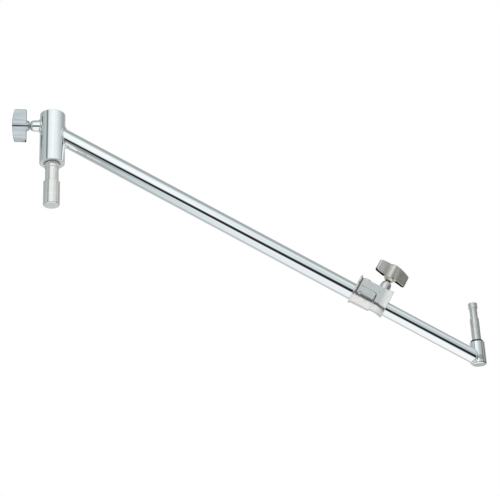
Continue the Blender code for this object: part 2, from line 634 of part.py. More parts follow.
def knob_sections():
    """Both wings and the hub as a loft along the wings, with rounded edges and a crowned top."""
    reach = KNOB_HALF_SPAN - KNOB_TIP_RADIUS
    hub_steps = 8
    places = [KNOB_HUB_RADIUS * 1.25 * index / hub_steps for index in range(hub_steps + 1)]
    places += [places[-1] + (reach - places[-1]) * index / 3.0 for index in (1, 2, 3)]
    stations = [(place, 0.0) for place in places]
    for swing in (35.0, 65.0, 88.0):
        angle = math.radians(swing)
        tuck = KNOB_TIP_RADIUS * (1.0 - math.cos(angle))
        stations.append((reach + KNOB_TIP_RADIUS * math.sin(angle), tuck))
    stations = [(-place, tuck) for place, tuck in reversed(stations[1:])] + stations
    sections = []
    for place, tuck in stations:
        front, back = wing_sides(place)
        top = KNOB_HEIGHT - KNOB_CROWN * (place / KNOB_HALF_SPAN) ** 2
        low, high = KNOB_NECK_HEIGHT + tuck * 0.4, KNOB_NECK_HEIGHT + top - tuck * 0.4
        front, back = front + tuck, back - tuck
        edge = KNOB_EDGE
        outline = arc((back - edge, high - edge), edge, 0.0, 90.0, 3)
        outline += arc((front + edge, high - edge), edge, 90.0, 180.0, 3)
        outline += arc((front + edge, low + edge), edge, 180.0, 270.0, 2)
        outline += arc((back - edge, low + edge), edge, 270.0, 360.0, 2)
        sections.append([(place, across, height) for across, height in outline])
    return sections


def make_screw_set(prefix, line, pad_face, pad_radius, pad_thickness, knob_start, knob_angle,
                   pad_cutter=None):
    """A pad, the screw that presses it and the wing knob on the screw, along one axis."""
    pad_back = pad_face + pad_thickness
    stem_end = pad_back + PAD_STEM_LENGTH
    pad_profile = [(0.0, stem_end), (PAD_STEM_RADIUS, stem_end), (PAD_STEM_RADIUS, pad_back),
                   (pad_radius, pad_back), (pad_radius, pad_face), (0.0, pad_face)]
    pad = turned(prefix + "_pad", pad_profile, line, brass)
    if pad_cutter is not None:
        cut(pad, pad_cutter)

    screw_low = pad_back + GAP
    screw_high = knob_start + SCREW_IN_KNOB
    screw_profile = [(0.0, screw_high), (SCREW_RADIUS, screw_high),
                     (SCREW_RADIUS, screw_low + SCREW_CHAMFER),
                     (SCREW_RADIUS - SCREW_CHAMFER, screw_low), (PAD_STEM_RADIUS + GAP, screw_low),
                     (PAD_STEM_RADIUS + GAP, stem_end + GAP), (0.0, stem_end + GAP)]
    turn = Matrix.Rotation(knob_angle, 4, "Z")
    turned(prefix + "_screw", screw_profile, line, zinc, turn, sides=SMALL_ROUND)

    knob_matrix = turn @ Matrix.Translation((0.0, 0.0, knob_start))
    knob = loft(prefix + "_knob", knob_sections(), line, knob_cast, knob_matrix)
    neck_profile = [(0.0, KNOB_NECK_HEIGHT * 2.0), (KNOB_HUB_RADIUS * 0.9, KNOB_NECK_HEIGHT * 2.0)]
    neck_radius = KNOB_HUB_RADIUS + KNOB_NECK_LIP
    neck_profile += [(neck_radius, KNOB_NECK_HEIGHT + KNOB_EDGE), (neck_radius, KNOB_NECK_HEIGHT * 0.6),
                     (NOSE_RADIUS, 0.0), (0.0, 0.0)]
    neck = turned(prefix + "_knob_neck_form", neck_profile, line, offset=knob_matrix)
    socket = bar(prefix + "_knob_socket", SCREW_RADIUS + GAP, -OVERSHOOT, SCREW_IN_KNOB + GAP, line,
                 offset=knob_matrix, sides=SMALL_ROUND)
    join(knob, neck)
    cut(knob, socket)


sleeve_clearance = make_sleeve_and_pin()
rivet_hole_pair = make_rivets()
make_outer_tube(sleeve_clearance, rivet_hole_pair)
make_collar(rivet_hole_pair)
make_extension()
make_screw_set("receiver", receiver_line, SLEEVE_BORE_RADIUS - RECEIVER_PAD_REACH, SCREW_RADIUS - GAP,
               RECEIVER_PAD_THICKNESS, RECEIVER_BOSS_NOSE + RECEIVER_KNOB_GAP, RECEIVER_KNOB_ANGLE)
saddle_form = bar("clamp_pad_saddle", COLLAR_SLIDE_BORE, COLLAR_START, COLLAR_END, arm_line)
make_screw_set("clamp", clamp_line, COLLAR_SLIDE_BORE - CLAMP_PAD_SADDLE, CLAMP_PAD_RADIUS,
               CLAMP_PAD_THICKNESS + CLAMP_PAD_SADDLE, CLAMP_BOSS_TOP + CLAMP_KNOB_GAP, CLAMP_KNOB_ANGLE,
               saddle_form)
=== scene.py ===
"""Telescopic flag arm: the finish of every piece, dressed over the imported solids.

The origin is the centre of the junior pin's end face, +Z is up, and the arm runs down along +X.
Sizes are millimetres up to the camera and metres from there on. The meshes are made in metres.
"""

import json
from math import atan2, copysign, cos, hypot, pi, radians, sin

import bpy
import numpy as np
from mathutils import Matrix


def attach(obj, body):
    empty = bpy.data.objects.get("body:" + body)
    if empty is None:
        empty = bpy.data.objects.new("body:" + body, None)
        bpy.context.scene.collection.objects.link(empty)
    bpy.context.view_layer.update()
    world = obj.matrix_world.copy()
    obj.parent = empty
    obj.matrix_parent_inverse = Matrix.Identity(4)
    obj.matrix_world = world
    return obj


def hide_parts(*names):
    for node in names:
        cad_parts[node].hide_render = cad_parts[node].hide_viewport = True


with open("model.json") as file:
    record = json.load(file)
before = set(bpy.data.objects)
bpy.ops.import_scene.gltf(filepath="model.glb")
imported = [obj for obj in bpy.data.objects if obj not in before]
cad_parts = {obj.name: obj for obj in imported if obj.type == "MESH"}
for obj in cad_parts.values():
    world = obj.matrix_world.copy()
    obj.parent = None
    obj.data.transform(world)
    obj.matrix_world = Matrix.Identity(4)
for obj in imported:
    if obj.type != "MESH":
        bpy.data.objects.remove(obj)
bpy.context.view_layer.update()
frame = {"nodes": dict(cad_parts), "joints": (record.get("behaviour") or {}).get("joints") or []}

MM = 0.001

# Clearance between the solids that touch
GAP = 0.3

# Junior pin and receiver sleeve, along the upright axis
PIN_RADIUS = 14.3
PIN_HEAD_LENGTH = 44.5
PIN_NECK_RADIUS = 11.65
PIN_ROOT_RADIUS = 12.9
PIN_ROOT_LENGTH = 13.0
PIN_SHANK_LENGTH = 42.0
PIN_RECESS = 4.5
PIN_END_EDGE = 1.8
SLEEVE_BORE = PIN_RADIUS + GAP
SLEEVE_RADIUS = SLEEVE_BORE + 7.4
SLEEVE_BOTTOM = PIN_HEAD_LENGTH + 35.0
SLEEVE_TOP = SLEEVE_BOTTOM + 96.0
SLEEVE_EDGES = (0.9, 0.9, 0.6, 0.6)
SCREW_HEIGHT = SLEEVE_TOP - 22.5
ARM_HEIGHT = SLEEVE_TOP - 32.5

# Tubes, along the arm from the sleeve's axis
INNER_RADIUS = 12.5
INNER_BORE = 10.5
OUTER_RADIUS = 15.0
OUTER_BORE = 13.3
OUTER_START = 2.0
OUTER_LENGTH = 627.0
COLLAR_START = OUTER_LENGTH - 32.0
COLLAR_LENGTH = 62.5
INNER_START = COLLAR_START - 448.0
SOCKET_DISTANCE = COLLAR_START + COLLAR_LENGTH + 180.5

# Clamp collar, along the arm from its flange face; tops are above the arm's axis
TUBE_HOLE = OUTER_RADIUS + GAP
SLIDE_HOLE = INNER_RADIUS + GAP
FLANGE_RADIUS = 20.2
FLANGE_TOP = 30.6
FLANGE_CORNER = 10.4
FLANGE_THICKNESS = 3.2
FLANGE_EDGE = 0.7
FLANGE_FILLET = 2.4
FLANGE_FOOT = FLANGE_THICKNESS + FLANGE_FILLET
SHELL_RADIUS = 18.6
SHELL_TAPER = 1.2
SHELL_LENGTH = 39.0
SHELL_TOP = 13.2
SHELL_END_ARC = 6.0
SHELL_STEP_WIDTH = 2.8
BLOCK_RADIUS = SLIDE_HOLE + 2.0
BLOCK_TOP = 26.5
BLOCK_SLOPE = 2.7 / COLLAR_LENGTH
BLOCK_CORNER = 1.8
FLARE_RISE = 2.7
FLARE_LENGTH = 16.0
MOUTH_EDGE = 0.5
CAP_RADIUS = 8.0
CAP_HEIGHT = 5.4
CAP_DOME = 1.8
CAP_FLAT = 5.6
CAP_FILLET = 0.5
CAP_FROM_FLANGE = 14.0
CLAMP_BOSS_RADIUS = 9.5
CLAMP_BOSS_TOP = 45.0
CLAMP_BOSS_DOME = 7.0
CLAMP_BOSS_FILLET = 1.4
BOSS_FROM_FLANGE = 45.5
CLAMP_DISTANCE = COLLAR_START + BOSS_FROM_FLANGE
# The height over which the foot of the boss and the cap leans with the block's top
LEAN_HEIGHT = 3.0
# Rows along the body behind the flange, as first, last and count, closest where the panel ends
COLLAR_ROWS = ((FLANGE_FOOT + 0.3, 32.0, 40), (32.3, 39.3, 29),
               (39.8, COLLAR_LENGTH - MOUTH_EDGE - 0.2, 36))

# Screws, their bosses and pads, along each screw from the axis that it presses on
SCREW_RADIUS = 5.0
THREAD_PITCH = 1.5
THREAD_DEPTH = 0.85
THREAD_HOLE = SCREW_RADIUS + GAP
NOSE_RADIUS = THREAD_HOLE + 1.3
RECEIVER_BOSS_RADIUS = 10.0
RECEIVER_BOSS_NOSE = SLEEVE_RADIUS + 16.0
RECEIVER_BOSS_DOME = 8.4
RECEIVER_KNOB_START = RECEIVER_BOSS_NOSE + 1.1
RECEIVER_PAD_FACE = SLEEVE_BORE - 8.0
RECEIVER_PAD_BACK = RECEIVER_PAD_FACE + 4.0
CLAMP_KNOB_START = CLAMP_BOSS_TOP + 4.2
CLAMP_PAD_RADIUS = 7.0
CLAMP_PAD_FACE = SLIDE_HOLE - 2.3
CLAMP_PAD_BACK = CLAMP_PAD_FACE + 9.3
CLAMP_PAD_ROOM = SLIDE_HOLE + 13.5
PAD_STEM_RADIUS = 2.2
PAD_STEM_LENGTH = 5.0
SCREW_IN_KNOB = 22.0

# Wing knob
HALF_SPAN = 29.5
HUB_RADIUS = 8.5
TIP_FRONT = 6.2
TIP_BACK = 1.6
ROOT_BACK = 2.6
TIP_ROUNDING = 2.6
NECK_HEIGHT = 6.0
NECK_RADIUS = 9.2
KNOB_HEIGHT = 25.0
KNOB_EDGE = 1.1
KNOB_FOOT = 1.6
KNOB_CROWN = 4.2
KNOB_EASING = 2.2
KNOB_GUARD = 0.35
# How much the top and bottom draw in where the tip rounds, for each millimetre that its sides do
TIP_DRAW = 0.4
CORE_START = 10.5
CORE_WALL = 1.3
CORE_TIP_WALL = CORE_WALL + 0.6
CORE_DEPTH = 9.0
RECEIVER_KNOB_ANGLE = radians(-4.0)
CLAMP_KNOB_ANGLE = radians(18.0)

# Socket, stud, ring and set screw, above and below the crossing of the socket's and arm's axes
STUD_RADIUS = 7.94
SOCKET_BORE = STUD_RADIUS + GAP
SOCKET_RADIUS = SOCKET_BORE + 4.46
SOCKET_TOP = 29.3
SOCKET_BOTTOM = 10.5
SOCKET_FLOOR = 4.0
SOCKET_EDGE = 2.6
EAR_SETBACK = 6.0
STUD_TOP = SOCKET_TOP + 71.3
STUD_NECK_TOP = STUD_TOP - 9.6
STUD_NECK_BOTTOM = STUD_NECK_TOP - 18.6
STUD_NECK_RADIUS = 6.6
CROSS_HOLE_RADIUS = 2.2
CROSS_HOLE_ANGLE = radians(-30.0)
RING_WIDTH = 2.4
RING_THICKNESS = 3.0
RING_EDGES = (0.8, 0.6, 0.3, 0.3)
SET_SCREW_RADIUS = 3.5
SET_SCREW_SINK = 0.4
SET_SCREW_SLOT = 1.1
SLOT_DEPTH = 1.4
SLOT_ANGLE = radians(55.0)

# Rivets across the collar
RIVET_RADIUS = 2.4
RIVET_HEAD_RADIUS = 3.3
RIVET_HEAD_HEIGHT = 1.0
DIMPLE_RADIUS = 1.6
DIMPLE_DEPTH = 2.4
RIVET_FROM_FLANGE = 10.5
RIVET_BELOW_AXIS = 3.0

# Weld beads; each scallop leads at the bead's middle by a share of the ripple
ARM_BEAD_RADIUS = 2.6
BOSS_BEAD_RADIUS = 2.2
SOCKET_BEAD_RADIUS = 2.0
BEAD_RIPPLE = 2.1
BEAD_LEAD = 0.45
SCALLOP_DEPTH = 0.14
BEAD_ROWS = 480
BEAD_COLUMNS = 24

# Columns round a full turn, and points on a rounded edge
FINE = 144
MEDIUM = 96
SMALL = 72
EDGE_POINTS = 7
# The points beside an edge's arc: how far off at most, and as a share of the straight stretch
GUARD = 0.3
GUARD_SHARE = 0.2
# A closed end's last ring, which a fan of triangles fills
INNER_RING = 0.5
SHARP_ANGLE = radians(40.0)
SQUARE = np.array([[-1.0, -1.0], [1.0, -1.0], [1.0, 1.0], [-1.0, 1.0]])


# Lines that the pieces are placed along: an origin and the local X, Y and Z axes as rows


def unit(vectors):
    return vectors / np.linalg.norm(vectors, axis=-1, keepdims=True)


def line_at(origin, x, z):
    """A line through an origin, whose local Y is Z cross X."""
    return origin, np.array([x, np.cross(z, x), z])


def turned_about(line, angle):
    """The same line with its local X and Y turned about its own Z."""
    origin, axes = line
    return line_at(origin, axes[0] * cos(angle) + axes[1] * sin(angle), axes[2])


def moved_along(line, x=0.0, z=0.0):
    """The same line with its origin moved by local distances."""
    origin, axes = line
    return origin + axes[0] * x + axes[2] * z, axes


JOINTS = {joint["name"]: joint for joint in frame["joints"]}
DOWN_ARM = unit(np.array(JOINTS["extension_slide"]["axis"]))
TOWARDS_KNOB = np.array([-DOWN_ARM[2], 0.0, DOWN_ARM[0]])
RIGHT, BACKWARDS, UP = np.eye(3)
ARM_JOIN = UP * ARM_HEIGHT
SOCKET_CENTRE = ARM_JOIN + DOWN_ARM * SOCKET_DISTANCE
UPRIGHT = line_at(np.zeros(3), RIGHT, UP)
ARM = line_at(ARM_JOIN, TOWARDS_KNOB, DOWN_ARM)
COLLAR = moved_along(ARM, z=COLLAR_START)
RECEIVER_SCREW = line_at(UP * SCREW_HEIGHT, UP, -RIGHT)
CLAMP_SCREW = line_at(ARM_JOIN + DOWN_ARM * CLAMP_DISTANCE, DOWN_ARM, TOWARDS_KNOB)
SOCKET = line_at(SOCKET_CENTRE, RIGHT, UP)
SET_SCREW = line_at(SOCKET_CENTRE, RIGHT, -BACKWARDS)


# Meshes


def full_turn(count):
    return np.linspace(0.0, 2.0 * pi, count, endpoint=False)


def quarter_turn(count):
    return np.linspace(0.0, pi / 2.0, count)


def at_levels(plan, levels):
    """A flat outline of (X, Y) points, repeated at each level."""
    return np.stack([np.hstack([plan, np.full((len(plan), 1), level)]) for level in levels])


def smoothed(mesh):
    """Smooth shading, with the sharp edges left sharp."""
    mesh.polygons.foreach_set("use_smooth", np.ones(len(mesh.polygons), bool))
    mesh.set_sharp_from_angle(angle=SHARP_ANGLE)
    return mesh


def skin(grid, line, loop=False):
    """A mesh over a grid of points along a line, whose columns close on themselves.

    With loop its rows close too; otherwise a fan of triangles closes each end row to its middle.
    The faces are turned over where the volume inside them is negative.
    """
    origin, axes = line
    grid = grid @ axes + origin
    rows, columns = grid.shape[:2]
    index = np.arange(rows * columns).reshape(rows, columns)
    lower = index if loop else index[:-1]
    upper = np.roll(index, -1, axis=0) if loop else index[1:]
    quads = np.stack([lower, np.roll(lower, -1, 1), np.roll(upper, -1, 1), upper], -1).reshape(-1, 4)
    points = grid.reshape(-1, 3)
    fans = np.zeros((0, 3), int)
    if not loop:
        points = np.vstack([points, grid[0].mean(0), grid[-1].mean(0)])
        first, last = index[0], index[-1]
        middle = np.full(columns, rows * columns)
        fans = np.vstack([np.stack([np.roll(first, -1), first, middle], -1),
                          np.stack([last, np.roll(last, -1), middle + 1], -1)])
    triangles = np.vstack([quads[:, [0, 1, 2]], quads[:, [0, 2, 3]], fans])
    a, b, c = (points[triangles[:, column]] - points.mean(0) for column in range(3))
    if (a * np.cross(b, c)).sum() < 0.0:
        quads, fans = quads[:, ::-1], fans[:, ::-1]
    corners = np.concatenate([quads.ravel(), fans.ravel()])
    starts = np.concatenate([np.arange(len(quads)) * 4, len(quads) * 4 + np.arange(len(fans)) * 3])
    mesh = bpy.data.meshes.new("surface")
    mesh.vertices.add(len(points))
    mesh.vertices.foreach_set("co", (points * MM).ravel())
    mesh.loops.add(len(corners))
    mesh.loops.foreach_set("vertex_index", corners)
    mesh.polygons.add(len(starts))
    mesh.polygons.foreach_set("loop_start", starts)
    mesh.update(calc_edges=True)
    return smoothed(mesh)


def rounded(corners, loop=False, steps=6):
    """A profile of (radius, height, edge radius) corners with an arc at every corner.

    Its centre lies on the corner's bisector, at the edge radius over the sine of half the angle.
    One more point beside each end of an arc lets the straight stretches keep their own direction
    in smooth shading. An open profile keeps its first and last corner.
    """
    radius, height, edge = np.array(corners).T[..., None]
    places = radius + 1j * height
    back, ahead = np.roll(places, 1) - places, np.roll(places, -1) - places
    before, after = (np.minimum(GUARD / np.abs(run), GUARD_SHARE) * run for run in (back, ahead))
    back, ahead = back / np.abs(back), ahead / np.abs(ahead)
    half = 0.5 * np.arccos(np.clip((back * ahead.conj()).real, -1.0, 1.0))
    centre = places + (back + ahead) / np.abs(back + ahead) * edge / np.sin(half)
    start, end = (places + way * edge / np.tan(half) - centre for way in (back, ahead))
    angle = np.angle(start) + np.angle(end * start.conj()) * np.linspace(0.0, 1.0, steps + 1)
    arcs = centre + edge * np.exp(1j * angle)
    points = np.hstack([arcs[:, :1] + before, arcs, arcs[:, -1:] + after])
    if not loop:
        points = np.concatenate([places[0], points[1:-1].ravel(), places[-1]])
    return np.stack([points.real, points.imag], -1).reshape(-1, 2)


def filled(profile, step, loop=False):
    """The profile with points added, so that no stretch is longer than the step."""
    closed = np.vstack([profile, profile[:1]]) if loop else profile
    run = np.linalg.norm(np.diff(closed, axis=0), axis=1)
    pieces = np.maximum(np.ceil(run / step), 1).astype(int)
    stretch = np.repeat(np.arange(len(run)), pieces)
    inner = np.arange(len(stretch)) - np.repeat(np.cumsum(pieces) - pieces, pieces)
    share = (inner / pieces[stretch])[:, None]
    points = closed[stretch] * (1.0 - share) + closed[stretch + 1] * share
    return points if loop else np.vstack([points, profile[-1:]])


def rings(radius, height, angle):
    """Points round an axis at a radius and a height, which may differ by row and by angle."""
    return np.stack([radius * np.cos(angle), radius * np.sin(angle), height + 0.0 * angle], -1)


def turned(profile, line, columns=FINE, loop=False):
    """A (radius, height) profile turned about a line."""
    return skin(rings(profile[:, :1], profile[:, 1:], full_turn(columns)), line, loop)


def lathed(corners, line, columns=FINE, step=100.0, steps=6, ring=INNER_RING):
    """A round solid from its corners, whose end faces reach in to a small ring."""
    low, high = ((ring, corners[end][1], 0.0) for end in (0, -1))
    return turned(filled(rounded([low, *corners, high], steps=steps), step), line, columns)


def tube(outer, inner, low, high, edges, line, step=9.0):
    """A turned tube or ring, with its edge radii from the outer top round to the inner top."""
    corners = list(zip((outer, outer, inner, inner), (high, low, low, high), edges))
    return turned(filled(rounded(corners, loop=True), step, loop=True), line, loop=True)


def bar(radius, low, high, line, columns=SMALL):
    """A plain round bar from low to high along a line, to cut with."""
    lip = 0.001
    profile = [(radius - lip, low), (radius, low + lip), (radius, high - lip), (radius - lip, high)]
    return turned(filled(np.array(profile), step=12.0), line, columns)


def domed(radius, flat, top, dome):
    """A quarter ellipse from a straight side in to a flat top of a smaller radius."""
    swing = quarter_turn(22)
    return np.stack([flat + (radius - flat) * np.cos(swing), top - dome + dome * np.sin(swing)], -1)


def in_scene(name, data):
    """A new object in the scene."""
    obj = bpy.data.objects.new(name, data)
    bpy.context.scene.collection.objects.link(obj)
    return obj


def carved(mesh, *tools, operation="DIFFERENCE"):
    """A closed mesh cut by, or joined with, others one after another."""
    for tool in tools:
        whole, other = in_scene("whole", mesh), in_scene("tool", tool)
        modifier = whole.modifiers.new("Shape", "BOOLEAN")
        modifier.operation = operation
        modifier.object = other
        modifier.solver = "MANIFOLD"
        shaped = whole.evaluated_get(bpy.context.evaluated_depsgraph_get())
        result = bpy.data.meshes.new_from_object(shaped)
        for obj, spent in ((whole, mesh), (other, tool)):
            bpy.data.objects.remove(obj)
            bpy.data.meshes.remove(spent)
        mesh = smoothed(result)
    return mesh


# The slot that each finish fills, and the last word in its pieces' names

CHROMED = ("chrome_plate", "chromed")
SATIN = ("chrome_plate", "satin")
CAST = ("cast_alloy", "cast")
KNOB_CAST = ("knob_alloy", "cast")
ZINC = ("zinc_steel", "zinc")
BRASS = ("brass", "brass")
RUBBER = ("black_rubber", "rubber")


def dressed(mesh, material, finish, body, node):
    """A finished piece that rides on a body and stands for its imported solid."""
    slot, ending = finish
    name = node + "_" + ending
    mesh.name = name
    mesh.materials.clear()
    mesh.materials.append(material)
    obj = in_scene(name, mesh)
    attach(obj, body)
    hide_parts(node)


def face_centres(mesh, line):
    """The middle of every face, in millimetres along a line's own axes."""
    centres = np.empty(len(mesh.polygons) * 3)
    mesh.polygons.foreach_get("center", centres)
    return (centres.reshape(-1, 3) / MM - line[0]) @ line[1].T


def split_finish(mesh, material, chosen):
    """A second material on the chosen faces."""
    mesh.materials.append(material)
    mesh.polygons.foreach_set("material_index", chosen.astype(np.int32))


# Materials


def linear(code):
    """An sRGB hex colour as linear red, green, blue and alpha."""
    parts = [int(code[start:start + 2], 16) / 255.0 for start in (1, 3, 5)]
    return (*[c / 12.92 if c <= 0.04045 else ((c + 0.055) / 1.055) ** 2.4 for c in parts], 1.0)


def add(tree, kind, inputs=None, **settings):
    """A node with its settings; an input that is another node's output is linked."""
    node = tree.nodes.new("ShaderNode" + kind)
    for name, value in settings.items():
        setattr(node, name, value)
    for name, value in (inputs or {}).items():
        if isinstance(value, bpy.types.NodeSocket):
            tree.links.new(value, node.inputs[name])
        else:
            node.inputs[name].default_value = value
    return node


def between(tree, value, start, end, low=0.0, high=1.0):
    """A value taken from one range to another and held at its ends."""
    return add(tree, "MapRange", {0: value, 1: start, 2: end, 3: low, 4: high}).outputs["Result"]


def combined(tree, operation, first, *others):
    """A value taken together with others, one after another."""
    for other in others:
        first = add(tree, "Math", {0: first, 1: other}, operation=operation).outputs["Value"]
    return first


def blended(tree, factor, first, second):
    """A colour between two others."""
    return add(tree, "Mix", {"Factor": factor, "A": first, "B": second},
               data_type="RGBA").outputs["Result"]


def noise(tree, place, size, detail=3.0, rough=0.5):
    """A noise whose features have about the size, in millimetres."""
    return add(tree, "TexNoise", {"Vector": place, "Scale": 1.0 / (size * MM), "Detail": detail,
                                  "Roughness": rough}).outputs["Fac"]


def bumped(tree, height, depth):
    """The normal of a surface whose bumps have a depth in millimetres."""
    return add(tree, "Bump", {"Height": height, "Distance": depth * MM, "Strength": 1.0}).outputs["Normal"]


def new_material(name):
    """An empty material, its nodes and the place of each point on the object."""
    material = bpy.data.materials.new(name)
    material.use_nodes = True
    tree = material.node_tree
    tree.nodes.clear()
    return material, tree, add(tree, "TexCoord").outputs["Object"]


def metal(name, colour, tone, roughness, grain, turn=(0.0, 0.0, 0.0), stretch=(1.0, 1.0, 1.0),
          depth=0.001, smudge=0.05, mottle=30.0, haze=0.0):
    """A bare or plated metal with a directional grain.

    The grain is a noise of the given size, stretched along one axis, that gives a fine bump. A
    wider noise, the mottle, drifts the colour between two tones and the roughness by the smudge.
    The haze is the share of a much duller shine over the first.
    """
    material, tree, place = new_material(name)
    # The texture kind of mapping turns the axes before it stretches them
    along = add(tree, "Mapping", {"Vector": place, "Rotation": turn, "Scale": stretch},
                vector_type="TEXTURE").outputs["Vector"]
    fine = noise(tree, along, grain, rough=0.6)
    wide = noise(tree, along, mottle)
    shade = blended(tree, between(tree, wide, 0.35, 0.65), linear(colour), linear(tone))
    gloss = between(tree, wide, 0.3, 0.7, roughness - smudge, roughness + smudge)
    grit = add(tree, "Math", {0: fine, 1: smudge, 2: gloss}, operation="MULTIPLY_ADD").outputs["Value"]
    surface = {"Base Color": shade, "Metallic": 1.0, "Normal": bumped(tree, fine, depth)}
    shine = add(tree, "BsdfPrincipled", {**surface, "Roughness": grit}).outputs["BSDF"]
    if haze:
        dull = add(tree, "BsdfPrincipled", {**surface, "Roughness": 0.5}).outputs["BSDF"]
        shine = add(tree, "MixShader", {0: haze, 1: shine, 2: dull}).outputs["Shader"]
    add(tree, "OutputMaterial", {"Surface": shine})
    return material


def polymer(name, colour, tone, roughness, grain, depth):
    """Rubber or nylon: a fine moulded texture and a slow drift between two tones."""
    material, tree, place = new_material(name)
    normal = bumped(tree, noise(tree, place, grain, 4.0), depth)
    wide = noise(tree, place, grain * 20.0, 2.0)
    shade = blended(tree, wide, linear(colour), linear(tone))
    shader = add(tree, "BsdfPrincipled", {"Base Color": shade, "Roughness": roughness, "Normal": normal})
    add(tree, "OutputMaterial", {"Surface": shader.outputs["BSDF"]})
    return material


ARM_TILT = (0.0, atan2(-DOWN_ARM[2], DOWN_ARM[0]), 0.0)

# Bright chrome on drawn tube: a near mirror, with faint polishing lines that run down the arm
drawn_chrome = metal("chrome_on_drawn_tube", "#FCFEFE", "#F7FAFA", 0.05, 1.2, ARM_TILT,
                     (50.0, 1.0, 1.0), depth=0.0015, smudge=0.012)
# Bright chrome on turned bar: a mirror with faint rings left by the lathe and the mop
turned_chrome = metal("chrome_on_turned_steel", "#FCFEFD", "#F6F9F9", 0.06, 0.5,
                      stretch=(20.0, 20.0, 1.0), smudge=0.012)
# Chrome over a faced end, plated but not polished: a soft pale grey
faced_chrome = metal("chrome_on_faced_end", "#FAFBFA", "#F1F2F0", 0.3, 0.3, smudge=0.04, haze=0.5)
# Thin chrome on the pin, scuffed by receivers: softer and a little warmer than the sleeve
worn_chrome = metal("worn_chrome_on_pin", "#FCFBF8", "#F6F4EF", 0.12, 0.4,
                    stretch=(10.0, 10.0, 1.0), smudge=0.03, mottle=12.0, haze=0.25)
# Chrome on weld metal: the plate follows the bead, a little duller and paler than beside it
weld_chrome = metal("chrome_on_weld", "#F6F7F6", "#EAECEB", 0.18, 0.8, depth=0.02)
# Satin chrome on the stud: blasted before plating, so it shows soft grey-white bands
satin_chrome = metal("satin_chrome", "#F6F7F6", "#E6E6E3", 0.13, 0.8, stretch=(3.0, 3.0, 1.0),
                     mottle=5.0, haze=0.3)
# Die-cast alloy, tumbled bright: soft reflections, with slow drifts of tone and shine
tumbled_casting = metal("tumbled_aluminium_casting", "#F8F6F3", "#EFEDEA", 0.16, 1.4,
                        depth=0.0006, smudge=0.03, mottle=9.0, haze=0.3)
# The collar's corners, along the panel's step and behind the flange: a painted brownish shade, and duller
corner_casting_painted_shade = metal("aluminium_casting_painted_shade_in_corners", "#BDB1A6", "#A99D92", 0.3, 0.8, mottle=6.0,
                       haze=0.4)
# Zinc alloy knobs, ground on their flats and streaked along each screw: the slanted knob a warm grey,
# painted lighter to lift the shade it sits in, and the level knob a cool grey
slanted_knob_casting_painted_lighter = metal("ground_zinc_alloy_slanted_painted_lighter", "#FCF8F3", "#E2DAD1", 0.17, 0.8, ARM_TILT,
                             (1.0, 1.0, 12.0), depth=0.0015, smudge=0.04, mottle=5.0, haze=0.58)
level_knob_casting = metal("ground_zinc_alloy_level", "#D6DCDF", "#B8BFC4", 0.08, 0.8,
                           stretch=(12.0, 1.0, 1.0), depth=0.0015, smudge=0.03, mottle=5.0)
# The hollows under the wings, dull as they came from the die, and dark with painted shade
core_casting_painted_shade = metal("zinc_alloy_as_cast_painted_shade", "#3E3C3A", "#2E2D2C", 0.5, 0.6, depth=0.02)
# Zinc plate with yellow passivation: an olive-brass cast over bright steel
yellow_zinc = metal("yellow_passivated_zinc", "#A89F78", "#8F8A62", 0.22, 0.4, depth=0.002)
# Bright zinc plate: a slightly warm white, duller than chrome
bright_zinc = metal("bright_zinc_plate", "#F4F4F0", "#E4E1D8", 0.25, 0.4, haze=0.6)
# Turned brass: a fine grain and a soft yellow shine
turned_brass = metal("turned_brass", "#D8B56A", "#C7A052", 0.26, 0.35, depth=0.008)
# Nitrile rubber: near black and matt
rubber = polymer("nitrile_rubber", "#0C0C0D", "#161617", 0.55, 0.3, 0.02)
# Moulded nylon: milky white with a dull shine
nylon = polymer("moulded_nylon", "#E9E8E2", "#E2E0D8", 0.45, 0.4, 0.01)


# Sleeve and pin


def nose_profile(radius, nose, dome, base):
    """A boss from its base up: a straight side, then a dome in to a small flat nose."""
    top = np.array([[NOSE_RADIUS - 0.3, nose], [NOSE_RADIUS - 0.9, nose]])
    bottom = np.array([[radius - 1.0, base], [radius, base], [radius, nose - dome - 0.4]])
    return np.vstack([bottom, domed(radius, NOSE_RADIUS, nose, dome), top])


def sleeve_space():
    """The sleeve's room in the boss and the tube, with half the gap round it."""
    return bar(SLEEVE_RADIUS + GAP / 2.0, SLEEVE_BOTTOM, SLEEVE_TOP, UPRIGHT, FINE)


